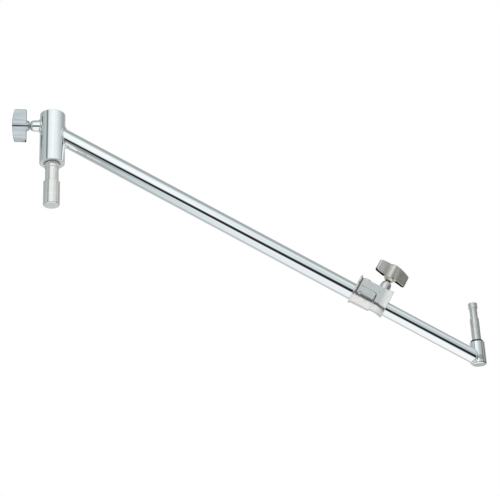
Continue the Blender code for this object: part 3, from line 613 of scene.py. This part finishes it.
def make_sleeve_and_pin():
    """The sleeve, its pin and the screw boss: turned profiles with broken edges."""
    sleeve = tube(SLEEVE_RADIUS, SLEEVE_BORE, SLEEVE_BOTTOM, SLEEVE_TOP, SLEEVE_EDGES, UPRIGHT, step=8.0)
    sleeve = carved(sleeve, bar(THREAD_HOLE, SLEEVE_BORE / 2.0, RECEIVER_BOSS_NOSE, RECEIVER_SCREW))
    dressed(sleeve, turned_chrome, CHROMED, "arm", "receiver_sleeve")
    height = face_centres(sleeve, UPRIGHT)[:, 2]
    split_finish(sleeve, faced_chrome, (height < SLEEVE_BOTTOM + 0.1) | (height > SLEEVE_TOP - 0.1))

    root = SLEEVE_BOTTOM + PIN_RECESS
    shank_end = root + PIN_SHANK_LENGTH
    pin = rounded([(0.0, shank_end, 0.0), (PIN_RADIUS, shank_end, 0.6), (PIN_RADIUS, root, 0.3),
                   (PIN_ROOT_RADIUS, root, 0.3), (PIN_ROOT_RADIUS, root - PIN_ROOT_LENGTH, 0.4),
                   (PIN_NECK_RADIUS, root - PIN_ROOT_LENGTH, 0.5),
                   (PIN_NECK_RADIUS, PIN_HEAD_LENGTH, 0.6), (PIN_RADIUS, PIN_HEAD_LENGTH, 0.7),
                   (PIN_RADIUS, 0.0, PIN_END_EDGE), (0.0, 0.0, 0.0)])
    dressed(turned(filled(pin[1:-1], step=6.0), UPRIGHT), worn_chrome, CHROMED, "arm", "junior_pin")

    boss = nose_profile(RECEIVER_BOSS_RADIUS, RECEIVER_BOSS_NOSE, RECEIVER_BOSS_DOME, SLEEVE_BORE)
    boss = carved(turned(filled(boss, step=5.0), RECEIVER_SCREW), sleeve_space(),
                  bar(THREAD_HOLE, 0.0, RECEIVER_BOSS_NOSE + 5.0, RECEIVER_SCREW))
    dressed(boss, turned_chrome, CHROMED, "arm", "screw_boss")


# Welds


def meeting_line(start, direction, radius, post_radius, setback):
    """The closed line where a round bar along a direction runs into an upright post's surface.

    Each point lies as far along the bar as the post's surface does at that point's distance to
    the side. Beyond the post's width the line keeps the setback.
    """
    angle = full_turn(BEAD_ROWS)[:, None]
    rise = np.cross(direction, BACKWARDS)
    ring = BACKWARDS * (radius * np.cos(angle)) + rise * (radius * np.sin(angle))
    reach = np.sqrt(np.maximum(post_radius ** 2 - ring[:, 1:2] ** 2, 0.0))
    depth = (reach ** 4 + setback ** 4) ** 0.25
    level = hypot(direction[0], direction[1])
    along = (depth - copysign(1.0, direction[0]) * ring[:, :1]) / level
    return start + ring + direction * along


def make_weld(body, node, start, direction, radius, post_radius, thickness, setback=0.0):
    """A weld bead: a round section carried along the meeting line.

    The section swells and dips in scallops, one for each drop of weld metal.
    """
    path = meeting_line(start, direction, radius, post_radius, setback)
    ahead = unit(np.roll(path, -1, axis=0) - np.roll(path, 1, axis=0))
    outward = path - start
    outward = unit(outward - ahead * (outward * ahead).sum(1)[:, None])
    sideways = np.cross(ahead, outward)
    length = np.linalg.norm(np.roll(path, -1, axis=0) - path, axis=1).sum()
    drops = round(length / BEAD_RIPPLE)
    turn = full_turn(BEAD_COLUMNS)
    phase = drops * np.arange(BEAD_ROWS)[:, None] / BEAD_ROWS + BEAD_LEAD * np.cos(turn)
    scallop = np.sqrt(1.0 - 0.8 * (2.0 * (phase % 1.0) - 1.0) ** 2)
    reach = thickness * (1.0 - SCALLOP_DEPTH + SCALLOP_DEPTH * scallop)[..., None]
    section = outward[:, None] * np.cos(turn)[:, None] + sideways[:, None] * np.sin(turn)[:, None]
    bead = skin(path[:, None] + section * reach, UPRIGHT, loop=True)
    dressed(bead, weld_chrome, CHROMED, body, node)


def make_welds():
    make_weld("arm", "arm_weld", ARM_JOIN, DOWN_ARM, OUTER_RADIUS, SLEEVE_RADIUS, ARM_BEAD_RADIUS)
    make_weld("arm", "boss_weld", UP * SCREW_HEIGHT, -RIGHT, RECEIVER_BOSS_RADIUS, SLEEVE_RADIUS,
              BOSS_BEAD_RADIUS)
    make_weld("extension", "socket_weld", SOCKET_CENTRE, -DOWN_ARM, INNER_RADIUS, SOCKET_RADIUS,
              SOCKET_BEAD_RADIUS, EAR_SETBACK)


# Tubes


def make_tubes():
    """Both tubes: turned rings, the outer coped to the sleeve and the inner to its socket."""
    outer = tube(OUTER_RADIUS, OUTER_BORE, OUTER_START, OUTER_LENGTH, [0.4] * 4, ARM)
    outer = carved(outer, sleeve_space())
    dressed(outer, drawn_chrome, CHROMED, "arm", "outer_tube")

    inner = tube(INNER_RADIUS, INNER_BORE, INNER_START, SOCKET_DISTANCE + SOCKET_RADIUS, [0.3] * 4, ARM)
    around_socket = bar(SOCKET_RADIUS + GAP / 2.0, -2.0 * SOCKET_BOTTOM, SOCKET_TOP, SOCKET, FINE)
    beyond_socket = bar(3.0 * SOCKET_RADIUS, -EAR_SETBACK, 4.0 * SOCKET_RADIUS,
                        line_at(SOCKET_CENTRE, BACKWARDS, RIGHT))
    inner = carved(inner, around_socket, beyond_socket)
    dressed(inner, drawn_chrome, CHROMED, "extension", "inner_tube")


# Clamp collar


def d_outline(angle, radius, top, corner):
    """How far a D-shaped outline lies from the arm's axis, by the angle from the knob's side.

    It is round below and flat at both sides and on top: the distance is the radius below, else
    where the ray meets the side, the top or the corner's arc.
    """
    rise, across = np.cos(angle), np.abs(np.sin(angle))
    corner_x, corner_y = top - corner, radius - corner
    nearest = rise * corner_x + across * corner_y
    on_arc = nearest + np.sqrt(np.maximum(nearest ** 2 - corner_x ** 2 - corner_y ** 2 + corner ** 2, 0.0))
    to_top = top / np.maximum(rise, 1e-6)
    to_side = radius / np.maximum(across, 1e-6)
    result = np.where(to_top * across <= corner_y, to_top, on_arc)
    result = np.where(to_side * rise <= corner_x, to_side, result)
    return np.where(rise <= 0.0, radius, result)


def collar_body(angle, along):
    """The collar's outer radius behind its flange, by angle and distance from the flange's face.

    The block is a D whose top slopes and whose round side flares to the mouth. The shell stands
    proud of it as a panel with one round corner, and over its step's width its height follows a
    quarter circle.
    """
    share = np.clip((along - COLLAR_LENGTH + FLARE_LENGTH) / FLARE_LENGTH, 0.0, 1.0)
    flare = FLARE_RISE * (1.0 - np.cos(share * pi / 2.0))
    block = d_outline(angle, BLOCK_RADIUS + flare, BLOCK_TOP + BLOCK_SLOPE * along, BLOCK_CORNER)
    side, share = shell_panel(angle, along)
    fade = np.sqrt(1.0 - (1.0 - share) ** 2)
    return block + np.maximum(side - block, 0.0) * fade


def shell_panel(angle, along):
    """The panel's distance from the arm's axis, and how far across its edge's step a place lies.

    It tapers, with upright sides above the axis. The step is measured inwards from its outline.
    """
    shell_radius = SHELL_RADIUS - SHELL_TAPER * along / SHELL_LENGTH
    across = np.maximum(np.abs(np.sin(angle)), 0.3)
    side = np.where(np.cos(angle) > 0.0, shell_radius / across, shell_radius)
    from_top = SHELL_TOP - side * np.cos(angle)
    from_end = SHELL_LENGTH - along
    arc = SHELL_END_ARC
    inside = arc - np.hypot(np.maximum(arc - from_top, 0.0), np.maximum(arc - from_end, 0.0))
    return side, np.clip(inside / SHELL_STEP_WIDTH, 0.0, 1.0)


def collar_rows(angle):
    """The casting's rows as distance and radius: flange, fillet, body, mouth and both bores."""
    flange = d_outline(angle, FLANGE_RADIUS, FLANGE_TOP, FLANGE_CORNER)
    edge, lip = FLANGE_EDGE, MOUTH_EDGE
    arc = [(1.0 - cos(a), 1.0 - sin(a)) for a in quarter_turn(EDGE_POINTS)]
    rows = [(0.5, TUBE_HOLE), (0.0, TUBE_HOLE + 0.5), (0.0, TUBE_HOLE + 0.8), (0.0, flange - edge - 0.3)]
    rows += [(edge * rise, flange - edge * fall) for rise, fall in arc]
    rows += [(FLANGE_THICKNESS - edge * fall, flange - edge * rise) for rise, fall in arc]
    lift = np.minimum(FLANGE_FILLET, 0.85 * (flange - edge - collar_body(angle, FLANGE_THICKNESS)))
    for swing, (_, fall) in zip(quarter_turn(EDGE_POINTS), arc):
        along = FLANGE_FOOT - FLANGE_FILLET * cos(swing)
        rows.append((along, collar_body(angle, along) + lift * fall))
    places = np.concatenate([np.linspace(*stretch) for stretch in COLLAR_ROWS])
    rows += [(along, collar_body(angle, along)) for along in places]
    mouth = collar_body(angle, COLLAR_LENGTH)
    rows += [(COLLAR_LENGTH - lip * fall, mouth - lip * rise) for rise, fall in arc]
    rows += [(COLLAR_LENGTH, mouth - lip - 0.3), (COLLAR_LENGTH, SLIDE_HOLE + 0.7),
             (COLLAR_LENGTH, SLIDE_HOLE + 0.4), (COLLAR_LENGTH - 0.4, SLIDE_HOLE)]
    step = OUTER_LENGTH - COLLAR_START + GAP
    rows += [(along, SLIDE_HOLE) for along in np.linspace(COLLAR_LENGTH - 4.0, step, 7)]
    return rows + [(along, TUBE_HOLE) for along in np.linspace(step, 2.0, 7)]


def make_collar():
    """The casting: its rows closed to a loop, joined with boss and cap, and bored for the screw."""
    angle = full_turn(400)
    grid = np.stack([rings(radius, along, angle) for along, radius in collar_rows(angle)])
    collar = skin(grid, COLLAR, loop=True)

    top = BLOCK_TOP + BLOCK_SLOPE * BOSS_FROM_FLANGE
    boss = nose_profile(CLAMP_BOSS_RADIUS, CLAMP_BOSS_TOP, CLAMP_BOSS_DOME, top)[2:]
    boss = sheared(np.vstack([skirt(CLAMP_BOSS_RADIUS, top, CLAMP_BOSS_FILLET), boss]), CLAMP_SCREW, top)
    base = BLOCK_TOP + BLOCK_SLOPE * CAP_FROM_FLANGE
    cap_top = base + CAP_HEIGHT
    cap = np.vstack([skirt(CAP_RADIUS, base, CAP_FILLET), domed(CAP_RADIUS, CAP_FLAT, cap_top, CAP_DOME),
                     [[INNER_RING, cap_top]]])
    cap = sheared(cap, moved_along(CLAMP_SCREW, x=CAP_FROM_FLANGE - BOSS_FROM_FLANGE), base)
    collar = carved(collar, boss, cap, operation="UNION")
    collar = carved(collar, bar(CLAMP_PAD_RADIUS + GAP, 5.0, CLAMP_PAD_ROOM, CLAMP_SCREW),
                    bar(THREAD_HOLE, 5.0, CLAMP_BOSS_TOP + 5.0, CLAMP_SCREW))
    dressed(collar, tumbled_casting, CAST, "arm", "clamp_collar")

    # The panel's step and the fillet behind the flange, above the rivets, take the painted shade
    x, y, along = face_centres(collar, COLLAR).T
    share = shell_panel(np.arctan2(y, x), along)[1]
    at_step = (share > 0.0) & (share < 0.95)
    at_flange = (along > FLANGE_THICKNESS) & (along < FLANGE_FOOT + 0.4)
    outside = (np.hypot(x, y) > TUBE_HOLE + 0.5) & (x > -0.5 * RIVET_BELOW_AXIS)
    split_finish(collar, corner_casting_painted_shade, (at_step | at_flange) & outside)


def skirt(radius, base, fillet):
    """The foot of a round form: a start below the top that it stands on, then a hollow quarter."""
    swing = np.linspace(radians(8.0), pi / 2.0, 9)
    hollow = np.stack([radius + fillet * (1.0 - np.sin(swing)), base + fillet * (1.0 - np.cos(swing))], -1)
    return np.vstack([[[radius, base - LEAN_HEIGHT], [radius + fillet, base - 0.3]], hollow])


def sheared(profile, line, base):
    """A turned form whose foot tips with the block's sloping top and whose nose stays square."""
    angle = full_turn(120)
    radius, height = profile[:, :1], profile[:, 1:]
    lean = np.clip(1.0 - (height - base) / LEAN_HEIGHT, 0.0, 1.0) * BLOCK_SLOPE
    return skin(rings(radius, height + lean * (radius * np.cos(angle)), angle), line)


# Screws, pads and knobs


def make_screw(line, low, start, body, node):
    """A single-start thread, bored for its pad's stem: a saw-tooth wave that climbs with each turn.

    The crests are cut flat, and the wave fades out over the last pitch at each end.
    """
    high = start + SCREW_IN_KNOB
    rows_in_pitch = 10.0
    along = np.linspace(low, high, int((high - low) / THREAD_PITCH * rows_in_pitch))[:, None]
    angle = full_turn(48)
    phase = (along / THREAD_PITCH - angle / (2.0 * pi)) % 1.0
    wave = np.clip(np.abs(2.0 * phase - 1.0) * 1.25 - 0.12, 0.0, 1.0)
    fade = np.clip(np.minimum(along - low, high - along) / THREAD_PITCH, 0.0, 1.0)
    radius = SCREW_RADIUS - THREAD_DEPTH * (1.0 - fade * (1.0 - wave))
    screw = skin(rings(radius, along, angle), line)
    screw = carved(screw, bar(PAD_STEM_RADIUS + GAP, low - 3.0, low + PAD_STEM_LENGTH, line))
    dressed(screw, yellow_zinc, ZINC, body, node)


def wing_sides(along):
    """Front and back of the knob at each distance along its wings from the screw's axis.

    The front runs off the hub's side and narrows to the tip. The back is the hub's circle and the
    set-back wing, eased into each other by a power sum. The other wing is the same turned round.
    """
    reach = np.abs(along)
    share = reach / HALF_SPAN
    flush = HUB_RADIUS + (TIP_FRONT - HUB_RADIUS) * share ** 1.5
    set_back = ROOT_BACK + (TIP_BACK - ROOT_BACK) * share
    hub = np.sqrt(np.maximum(HUB_RADIUS ** 2 - reach ** 2, 0.0))
    back = (set_back ** KNOB_EASING + hub ** KNOB_EASING) ** (1.0 / KNOB_EASING)
    return np.where(along < 0.0, -back, -flush), np.where(along < 0.0, flush, back)


def wings():
    """Both wings and the hub: a rounded rectangle carried along the wings.

    At the tips it draws in along quarter circles.
    """
    reach = HALF_SPAN - TIP_ROUNDING
    hub_zone = HUB_RADIUS * 1.25
    swing = quarter_turn(11)[1:]
    inner = np.concatenate([np.linspace(0.0, hub_zone, 34), np.linspace(hub_zone, reach, 24)[1:]])
    half = np.concatenate([inner, reach + TIP_ROUNDING * np.sin(swing)])
    tuck = np.concatenate([0.0 * inner, TIP_ROUNDING * (1.0 - np.cos(swing))])
    along = np.concatenate([-half[:0:-1], half])[:, None]
    tuck = np.concatenate([tuck[:0:-1], tuck])[:, None]
    front, back = wing_sides(along)
    front, back = front + tuck, back - tuck
    top = NECK_HEIGHT + KNOB_HEIGHT - KNOB_CROWN * (along / HALF_SPAN) ** 2 - TIP_DRAW * tuck
    bottom = NECK_HEIGHT + TIP_DRAW * tuck
    # Each edge is an arc, and the points beside it are its ends moved along the flats
    beside = np.array([KNOB_GUARD] + [0.0] * EDGE_POINTS + [-KNOB_GUARD])
    edges = []
    for first, (side, level, edge) in enumerate(((back, top, KNOB_EDGE), (front, top, KNOB_EDGE),
                                                 (front, bottom, KNOB_FOOT), (back, bottom, KNOB_FOOT))):
        turn = np.pad(quarter_turn(EDGE_POINTS), 1, "edge") + first * pi / 2.0
        cosine, sine = np.cos(turn), np.sin(turn)
        y = side - edge * np.sign(side - (front + back) / 2.0) + edge * cosine + beside * sine
        z = level - edge * np.sign(level - (top + bottom) / 2.0) + edge * sine - beside * cosine
        edges.append(np.stack([along + 0.0 * y, y, z], -1))
    return np.concatenate(edges, 1)


def core(side, place):
    """The hollow under one wing: the wing's plan drawn in by a wall, from below the knob up."""
    along = np.linspace(CORE_START, HALF_SPAN - CORE_TIP_WALL, 24)
    front, back = wing_sides(side * along)
    plan = np.concatenate([np.stack([side * along, front + CORE_WALL], -1),
                           np.stack([side * along, back - CORE_WALL], -1)[::-1]])
    return skin(at_levels(plan, (NECK_HEIGHT - 2.0, NECK_HEIGHT + CORE_DEPTH)), place)


def make_knob(line, start, angle, material, body):
    """The wings joined with the neck below, drilled for the screw and hollowed from below."""
    place = moved_along(turned_about(line, angle), z=start)
    in_hub = HUB_RADIUS * 0.9
    neck = lathed([(NOSE_RADIUS, 0.0, 0.5), (NECK_RADIUS, NECK_HEIGHT * 0.6, 1.0),
                   (NECK_RADIUS, NECK_HEIGHT + 0.8, 0.5), (in_hub, NECK_HEIGHT + 1.6, 0.3),
                   (in_hub, NECK_HEIGHT * 2.0, 0.3)], place, MEDIUM)
    knob = carved(skin(wings(), place), neck, operation="UNION")
    knob = carved(knob, bar(THREAD_HOLE, -2.0, SCREW_IN_KNOB + GAP, place), core(-1.0, place),
                  core(1.0, place))
    dressed(knob, material, KNOB_CAST, body, body)

    # The faces inside the hollows under the wings take the painted shade
    x, y, z = face_centres(knob, place).T
    front, back = wing_sides(x)
    between_walls = np.minimum(y - front, back - y) > 0.5 * CORE_WALL
    in_core = (z > NECK_HEIGHT + 0.05) & (z < NECK_HEIGHT + CORE_DEPTH + 0.1)
    split_finish(knob, core_casting_painted_shade, between_walls & in_core & (np.abs(x) > CORE_START - 0.1))


def make_clamp(name, line, radius, face, back, start, angle, casting, *hollow):
    """A screw with its pad and its knob; the pad is a turned disc on a spigot, and may be hollowed."""
    pad = lathed([(radius, face, 0.5), (radius, back, 0.4), (PAD_STEM_RADIUS, back, 0.2),
                  (PAD_STEM_RADIUS, back + PAD_STEM_LENGTH, 0.3)], line, SMALL)
    dressed(carved(pad, *hollow), turned_brass, BRASS, name + "_pad", name + "_pad")
    make_screw(line, back + GAP, start, name + "_knob", name + "_screw")
    make_knob(line, start, angle, casting, name + "_knob")


# Rivets


def make_rivets():
    """Tubular rivets: a turned head with a dimple where the shank was set."""
    seat = SHELL_RADIUS - SHELL_TAPER * RIVET_FROM_FLANGE / SHELL_LENGTH
    head = SHELL_RADIUS + GAP + RIVET_HEAD_HEIGHT
    floor = head - DIMPLE_DEPTH
    corners = [(RIVET_RADIUS, OUTER_BORE, 0.2), (RIVET_RADIUS, seat, 0.1), (RIVET_HEAD_RADIUS, seat, 0.2),
               (RIVET_HEAD_RADIUS, head - 0.5, 0.4), (RIVET_RADIUS, head, 0.3),
               (DIMPLE_RADIUS, head, 0.2), (DIMPLE_RADIUS - 0.4, floor, 0.3)]
    place = moved_along(COLLAR, x=-RIVET_BELOW_AXIS, z=RIVET_FROM_FLANGE)[0]
    for side, out in (("front", -BACKWARDS), ("back", BACKWARDS)):
        rivet = lathed(corners, line_at(place, RIGHT, out), SMALL, ring=0.3)
        dressed(rivet, bright_zinc, ZINC, "arm", "collar_rivet_" + side)


# Socket and stud


def make_socket():
    """The socket, bored for its stud and across for the set screw."""
    floor = SOCKET_FLOOR - SOCKET_BOTTOM
    socket = lathed([(SOCKET_RADIUS, -SOCKET_BOTTOM, SOCKET_EDGE), (SOCKET_RADIUS, SOCKET_TOP, 0.5),
                     (SOCKET_BORE, SOCKET_TOP, 0.3), (SOCKET_BORE, floor, 0.3)], SOCKET, step=5.0, steps=8)
    socket = carved(socket, bar(SET_SCREW_RADIUS + GAP, STUD_RADIUS / 2.0, SOCKET_RADIUS + 5.0, SET_SCREW))
    dressed(socket, turned_chrome, CHROMED, "extension", "end_socket")


def make_stud():
    """The stud with its grooved neck and the small hole across it, and the rubber ring."""
    low = SOCKET_FLOOR - SOCKET_BOTTOM + GAP
    stud = lathed([(STUD_RADIUS, low, 0.5), (STUD_RADIUS, STUD_NECK_BOTTOM, 0.5),
                   (STUD_NECK_RADIUS, STUD_NECK_BOTTOM, 0.6), (STUD_NECK_RADIUS, STUD_NECK_TOP, 0.6),
                   (STUD_RADIUS, STUD_NECK_TOP, 0.5), (STUD_RADIUS, STUD_TOP, 0.9)], SOCKET, MEDIUM, 4.0)
    middle, axes = moved_along(turned_about(SOCKET, CROSS_HOLE_ANGLE),
                               z=(STUD_NECK_TOP + STUD_NECK_BOTTOM) / 2.0)
    through = line_at(middle, UP, axes[0])
    stud = carved(stud, bar(CROSS_HOLE_RADIUS, -2.0 * STUD_RADIUS, 2.0 * STUD_RADIUS, through))
    dressed(stud, satin_chrome, SATIN, "extension", "baby_stud")

    low = SOCKET_TOP + GAP
    ring = tube(SOCKET_BORE + RING_WIDTH, SOCKET_BORE, low, low + RING_THICKNESS, RING_EDGES, SOCKET)
    dressed(ring, rubber, RUBBER, "extension", "stud_ring")


def make_set_screw():
    """The set screw, slotted for a screwdriver."""
    face = SOCKET_RADIUS - SET_SCREW_SINK
    screw = lathed([(SET_SCREW_RADIUS, SOCKET_BORE, 0.6), (SET_SCREW_RADIUS, face, 0.5)], SET_SCREW, SMALL)
    slot = at_levels(SQUARE * (SET_SCREW_RADIUS * 1.4, SET_SCREW_SLOT / 2.0),
                     (face - SLOT_DEPTH, face + 2.0))
    screw = carved(screw, skin(slot, turned_about(SET_SCREW, SLOT_ANGLE)))
    dressed(screw, bright_zinc, ZINC, "extension", "stud_set_screw")


make_sleeve_and_pin()
make_welds()
make_tubes()
make_collar()
make_rivets()
make_clamp("receiver", RECEIVER_SCREW, SCREW_RADIUS - GAP, RECEIVER_PAD_FACE, RECEIVER_PAD_BACK,
           RECEIVER_KNOB_START, RECEIVER_KNOB_ANGLE, level_knob_casting)
# The clamp knob's paler warm grey is painted light, lifting the shade on its wings
make_clamp("clamp", CLAMP_SCREW, CLAMP_PAD_RADIUS, CLAMP_PAD_FACE, CLAMP_PAD_BACK, CLAMP_KNOB_START,
           CLAMP_KNOB_ANGLE, slanted_knob_casting_painted_lighter, bar(SLIDE_HOLE, 0.0, COLLAR_LENGTH, COLLAR, FINE))
make_socket()
make_stud()
make_set_screw()
bush = frame["nodes"]["guide_bush"]
bush.data.materials.clear()
bush.data.materials.append(nylon)


# Camera, in metres, from the edges of the pin, stud, tubes and sleeve in the photograph

CAMERA_PLACE = np.array([0.033189, -2.039180, -0.933169])
CAMERA_YAW = 0.149428
CAMERA_PITCH = 0.394410
CAMERA_ROLL = -0.047247
VIEW_REACH = 60.0
IMAGE_WIDTH = 500.0
FOCAL_PIXELS = 1294.01
SENSOR_WIDTH = 36.0


def make_camera():
    """The camera at a yaw about +Z, a pitch above level and a roll about its own view."""
    forward = np.array([sin(CAMERA_YAW) * cos(CAMERA_PITCH),
                        cos(CAMERA_YAW) * cos(CAMERA_PITCH), sin(CAMERA_PITCH)])
    level = np.array([cos(CAMERA_YAW), -sin(CAMERA_YAW), 0.0])
    place, axes = turned_about(line_at(CAMERA_PLACE, level, -forward), CAMERA_ROLL)
    matrix = np.eye(4)
    matrix[:3, :4] = np.stack([*axes, place], -1)
    data = bpy.data.cameras.new("camera")
    data.sensor_width = SENSOR_WIDTH
    data.lens = FOCAL_PIXELS / IMAGE_WIDTH * SENSOR_WIDTH
    data.clip_end = VIEW_REACH
    camera = in_scene("camera", data)
    camera.matrix_world = Matrix(matrix.tolist())
    bpy.context.scene.camera = camera


# Studio, in metres: a pale floor below a light tent, whose walls show only in reflections

FLOOR_HEIGHT = -1.62
FLOOR_HALF_SIZE = 14.0
TENT_MIDDLE = 0.085
TENT_HALF_WIDTH = 1.685
TENT_HALF_DEPTH = 1.33
TENT_TOP = 1.7
TENT_GROUND = FLOOR_HEIGHT + 0.01
TENT_COLUMNS = 192

# The dark belt, each time by two places and the strength at both: its lower and upper edge, and
# its fades to the back and the left
BELT_RISE = (-1.26, -0.9, 0.0, 1.0)
BELT_FALL = (-0.31, -0.03, 1.0, 0.0)
BELT_TO_BACK = (-0.2, 0.8, 0.985, 0.12)
BELT_FROM_LEFT = (-1.7, -0.9, 0.35, 1.0)
BELT_COLOUR = "#101317"

# Seams by azimuth and half width in degrees, and depth; the right ones end over two heights
LEFT_SEAM = (-50.0, 12.0, 0.72)
RIGHT_SEAM = (67.0, 7.0, 0.8)
BACK_SEAM = (98.0, 14.0, 0.5)
SEAM_END = (0.45, 0.6, 1.0, 0.0)

# The wall's tones from straight behind, through the left, front and right, to behind again; the
# lower ones give way to the upper ones between two heights
UPPER_WALL = ((0.0, "#BEC0BC"), (0.18, "#A4A9A9"), (0.3, "#B8C0C0"), (0.42, "#E8F0F2"),
              (0.51, "#FCFFFF"), (0.6, "#E8F0F2"), (0.7, "#C6CDD0"), (0.8, "#A1A29D"), (1.0, "#BEC0BC"))
LOWER_WALL = ((0.0, "#D5D9DA"), (0.14, "#A6ACAE"), (0.28, "#B9C1C3"), (0.4, "#F4F9FA"),
              (0.51, "#F8FDFE"), (0.58, "#C6D0D5"), (0.61, "#B6C0C5"), (0.77, "#A3A09A"),
              (1.0, "#D5D9DA"))
WALL_CHANGE = (0.4, 0.95)
# The ground's tones from left to right, and the roof's from front to back
GROUND = ((0.0, "#9FA7AA"), (0.08, "#C5CFD4"), (0.25, "#E8EEF1"), (0.5, "#F9FAFA"))
ROOF = ((0.0, "#CFD9DC"), (0.5, "#979D9C"), (0.9, "#C0C3C3"))

# What the white world gives to dull surfaces, and the lamp
WORLD_LIGHT = 0.62
LAMP_SIZE = 2.4
LAMP_POWER = 110.0
LAMP_PLACE = (0.2, -0.6, 2.6)


def make_floor():
    """A square of pale paint, with faint clouds in its tone."""
    mesh = bpy.data.meshes.new("floor")
    corners = at_levels(SQUARE * FLOOR_HALF_SIZE, [FLOOR_HEIGHT])[0]
    mesh.from_pydata(corners.tolist(), [], [(0, 1, 2, 3)])
    material, tree, place = new_material("pale_painted_floor")
    cloud = add(tree, "TexNoise", {"Vector": place, "Scale": 1.5, "Detail": 2.0}).outputs["Fac"]
    shade = blended(tree, cloud, linear("#F8F8F7"), linear("#F4F4F4"))
    shader = add(tree, "BsdfPrincipled", {"Base Color": shade, "Roughness": 0.9})
    add(tree, "OutputMaterial", {"Surface": shader.outputs["BSDF"]})
    mesh.materials.append(material)
    in_scene("floor", mesh)


def ramp(tree, factor, stops):
    """A colour ramp with its stops as pairs of place and hex colour."""
    node = add(tree, "ValToRGB", {"Fac": factor})
    while len(node.color_ramp.elements) < len(stops):
        node.color_ramp.elements.new(0.5)
    for element, (share, code) in zip(node.color_ramp.elements, stops):
        element.position = share
        element.color = linear(code)
    return node.outputs["Color"]


def glowing(tree, colour):
    """A cloth that gives off a colour as it is."""
    glow = add(tree, "Emission", {"Color": colour})
    add(tree, "OutputMaterial", {"Surface": glow.outputs["Emission"]})


def seam(tree, azimuth, place, half_width, depth):
    """A soft dark upright line on the wall, by the distance in azimuth from its middle."""
    off = combined(tree, "ABSOLUTE", combined(tree, "SUBTRACT", azimuth, radians(place)), 0.0)
    return between(tree, off, radians(half_width) / 3.0, radians(half_width), depth, 0.0)


def make_cloth():
    """The wall's glow: two ramps by azimuth for its upper and lower part, under belt and seams."""
    material, tree, place = new_material("tent_cloth")
    x, y, z = (add(tree, "SeparateXYZ", {0: place}).outputs[name] for name in "XYZ")
    from_middle = combined(tree, "SUBTRACT", x, TENT_MIDDLE)
    azimuth = combined(tree, "ARCTAN2", from_middle, combined(tree, "MULTIPLY", y, -1.0))
    around = between(tree, azimuth, -pi, pi)
    wall = blended(tree, between(tree, z, *WALL_CHANGE), ramp(tree, around, LOWER_WALL),
                   ramp(tree, around, UPPER_WALL))
    belt = combined(tree, "MULTIPLY", between(tree, z, *BELT_RISE), between(tree, z, *BELT_FALL),
                    between(tree, y, *BELT_TO_BACK), between(tree, x, *BELT_FROM_LEFT))
    left, right, back = (seam(tree, azimuth, *sizes) for sizes in (LEFT_SEAM, RIGHT_SEAM, BACK_SEAM))
    low_seams = combined(tree, "MULTIPLY", combined(tree, "MAXIMUM", right, back),
                         between(tree, z, *SEAM_END))
    dark = combined(tree, "MAXIMUM", belt, left, low_seams)
    glowing(tree, blended(tree, dark, wall, linear(BELT_COLOUR)))
    return material


def make_sheet(name, axis, half_size, middle, stops):
    """The glow of the roof or the ground: one ramp along an axis."""
    material, tree, place = new_material(name)
    spot = add(tree, "SeparateXYZ", {0: place}).outputs[axis]
    glowing(tree, ramp(tree, between(tree, spot, middle - half_size, middle + half_size), stops))
    return material


def make_tent():
    """The tent's wall, roof and ground, which only reflections see.

    Its outline is a rectangle with rounded corners: each half size times the fourth root of the
    sine or cosine. The wall has a dark belt and three dark seams.
    """
    angle = full_turn(TENT_COLUMNS)
    cosine, sine = np.cos(angle), np.sin(angle)
    ring = np.stack([TENT_MIDDLE + TENT_HALF_WIDTH * np.sign(cosine) * np.abs(cosine) ** 0.25,
                     TENT_HALF_DEPTH * np.sign(sine) * np.abs(sine) ** 0.25], -1)
    points = at_levels(ring, (TENT_GROUND, TENT_TOP)).reshape(-1, 3).tolist()
    mesh = bpy.data.meshes.new("tent")
    first = np.arange(TENT_COLUMNS)
    after = np.roll(first, -1)
    top = first + TENT_COLUMNS
    walls = np.stack([first, after, after + TENT_COLUMNS, top], -1).tolist()
    mesh.from_pydata(points, [], walls + [top.tolist(), first[::-1].tolist()])
    for material in (make_cloth(), make_sheet("tent_roof", "Y", TENT_HALF_DEPTH, 0.0, ROOF),
                     make_sheet("tent_ground", "X", TENT_HALF_WIDTH, TENT_MIDDLE, GROUND)):
        mesh.materials.append(material)
    mesh.polygons[TENT_COLUMNS].material_index = 1
    mesh.polygons[TENT_COLUMNS + 1].material_index = 2
    tent = in_scene("tent", mesh)
    tent.visible_camera = False
    tent.visible_diffuse = False
    tent.visible_shadow = False


def make_light():
    """A white world that the camera and the metal see as it is, and one wide lamp overhead."""
    world = bpy.data.worlds.new("studio")
    bpy.context.scene.world = world
    world.use_nodes = True
    tree = world.node_tree
    tree.nodes.clear()
    path = add(tree, "LightPath").outputs
    seen = combined(tree, "MAXIMUM", path["Is Camera Ray"], path["Is Glossy Ray"],
                    path["Is Transmission Ray"])
    lit, shown = (add(tree, "Background", {"Color": linear("#FFFFFF"), "Strength": strength}).outputs[0]
                  for strength in (WORLD_LIGHT, 1.0))
    mixed = add(tree, "MixShader", {0: seen, 1: lit, 2: shown})
    add(tree, "OutputWorld", {"Surface": mixed.outputs[0]})
    data = bpy.data.lights.new("overhead", "AREA")
    data.shape = "DISK"
    data.size = LAMP_SIZE
    data.energy = LAMP_POWER
    lamp = in_scene("overhead", data)
    lamp.location = LAMP_PLACE
    lamp.visible_glossy = False


make_camera()
make_floor()
make_tent()
make_light()
bpy.context.scene.view_settings.view_transform = "Standard"
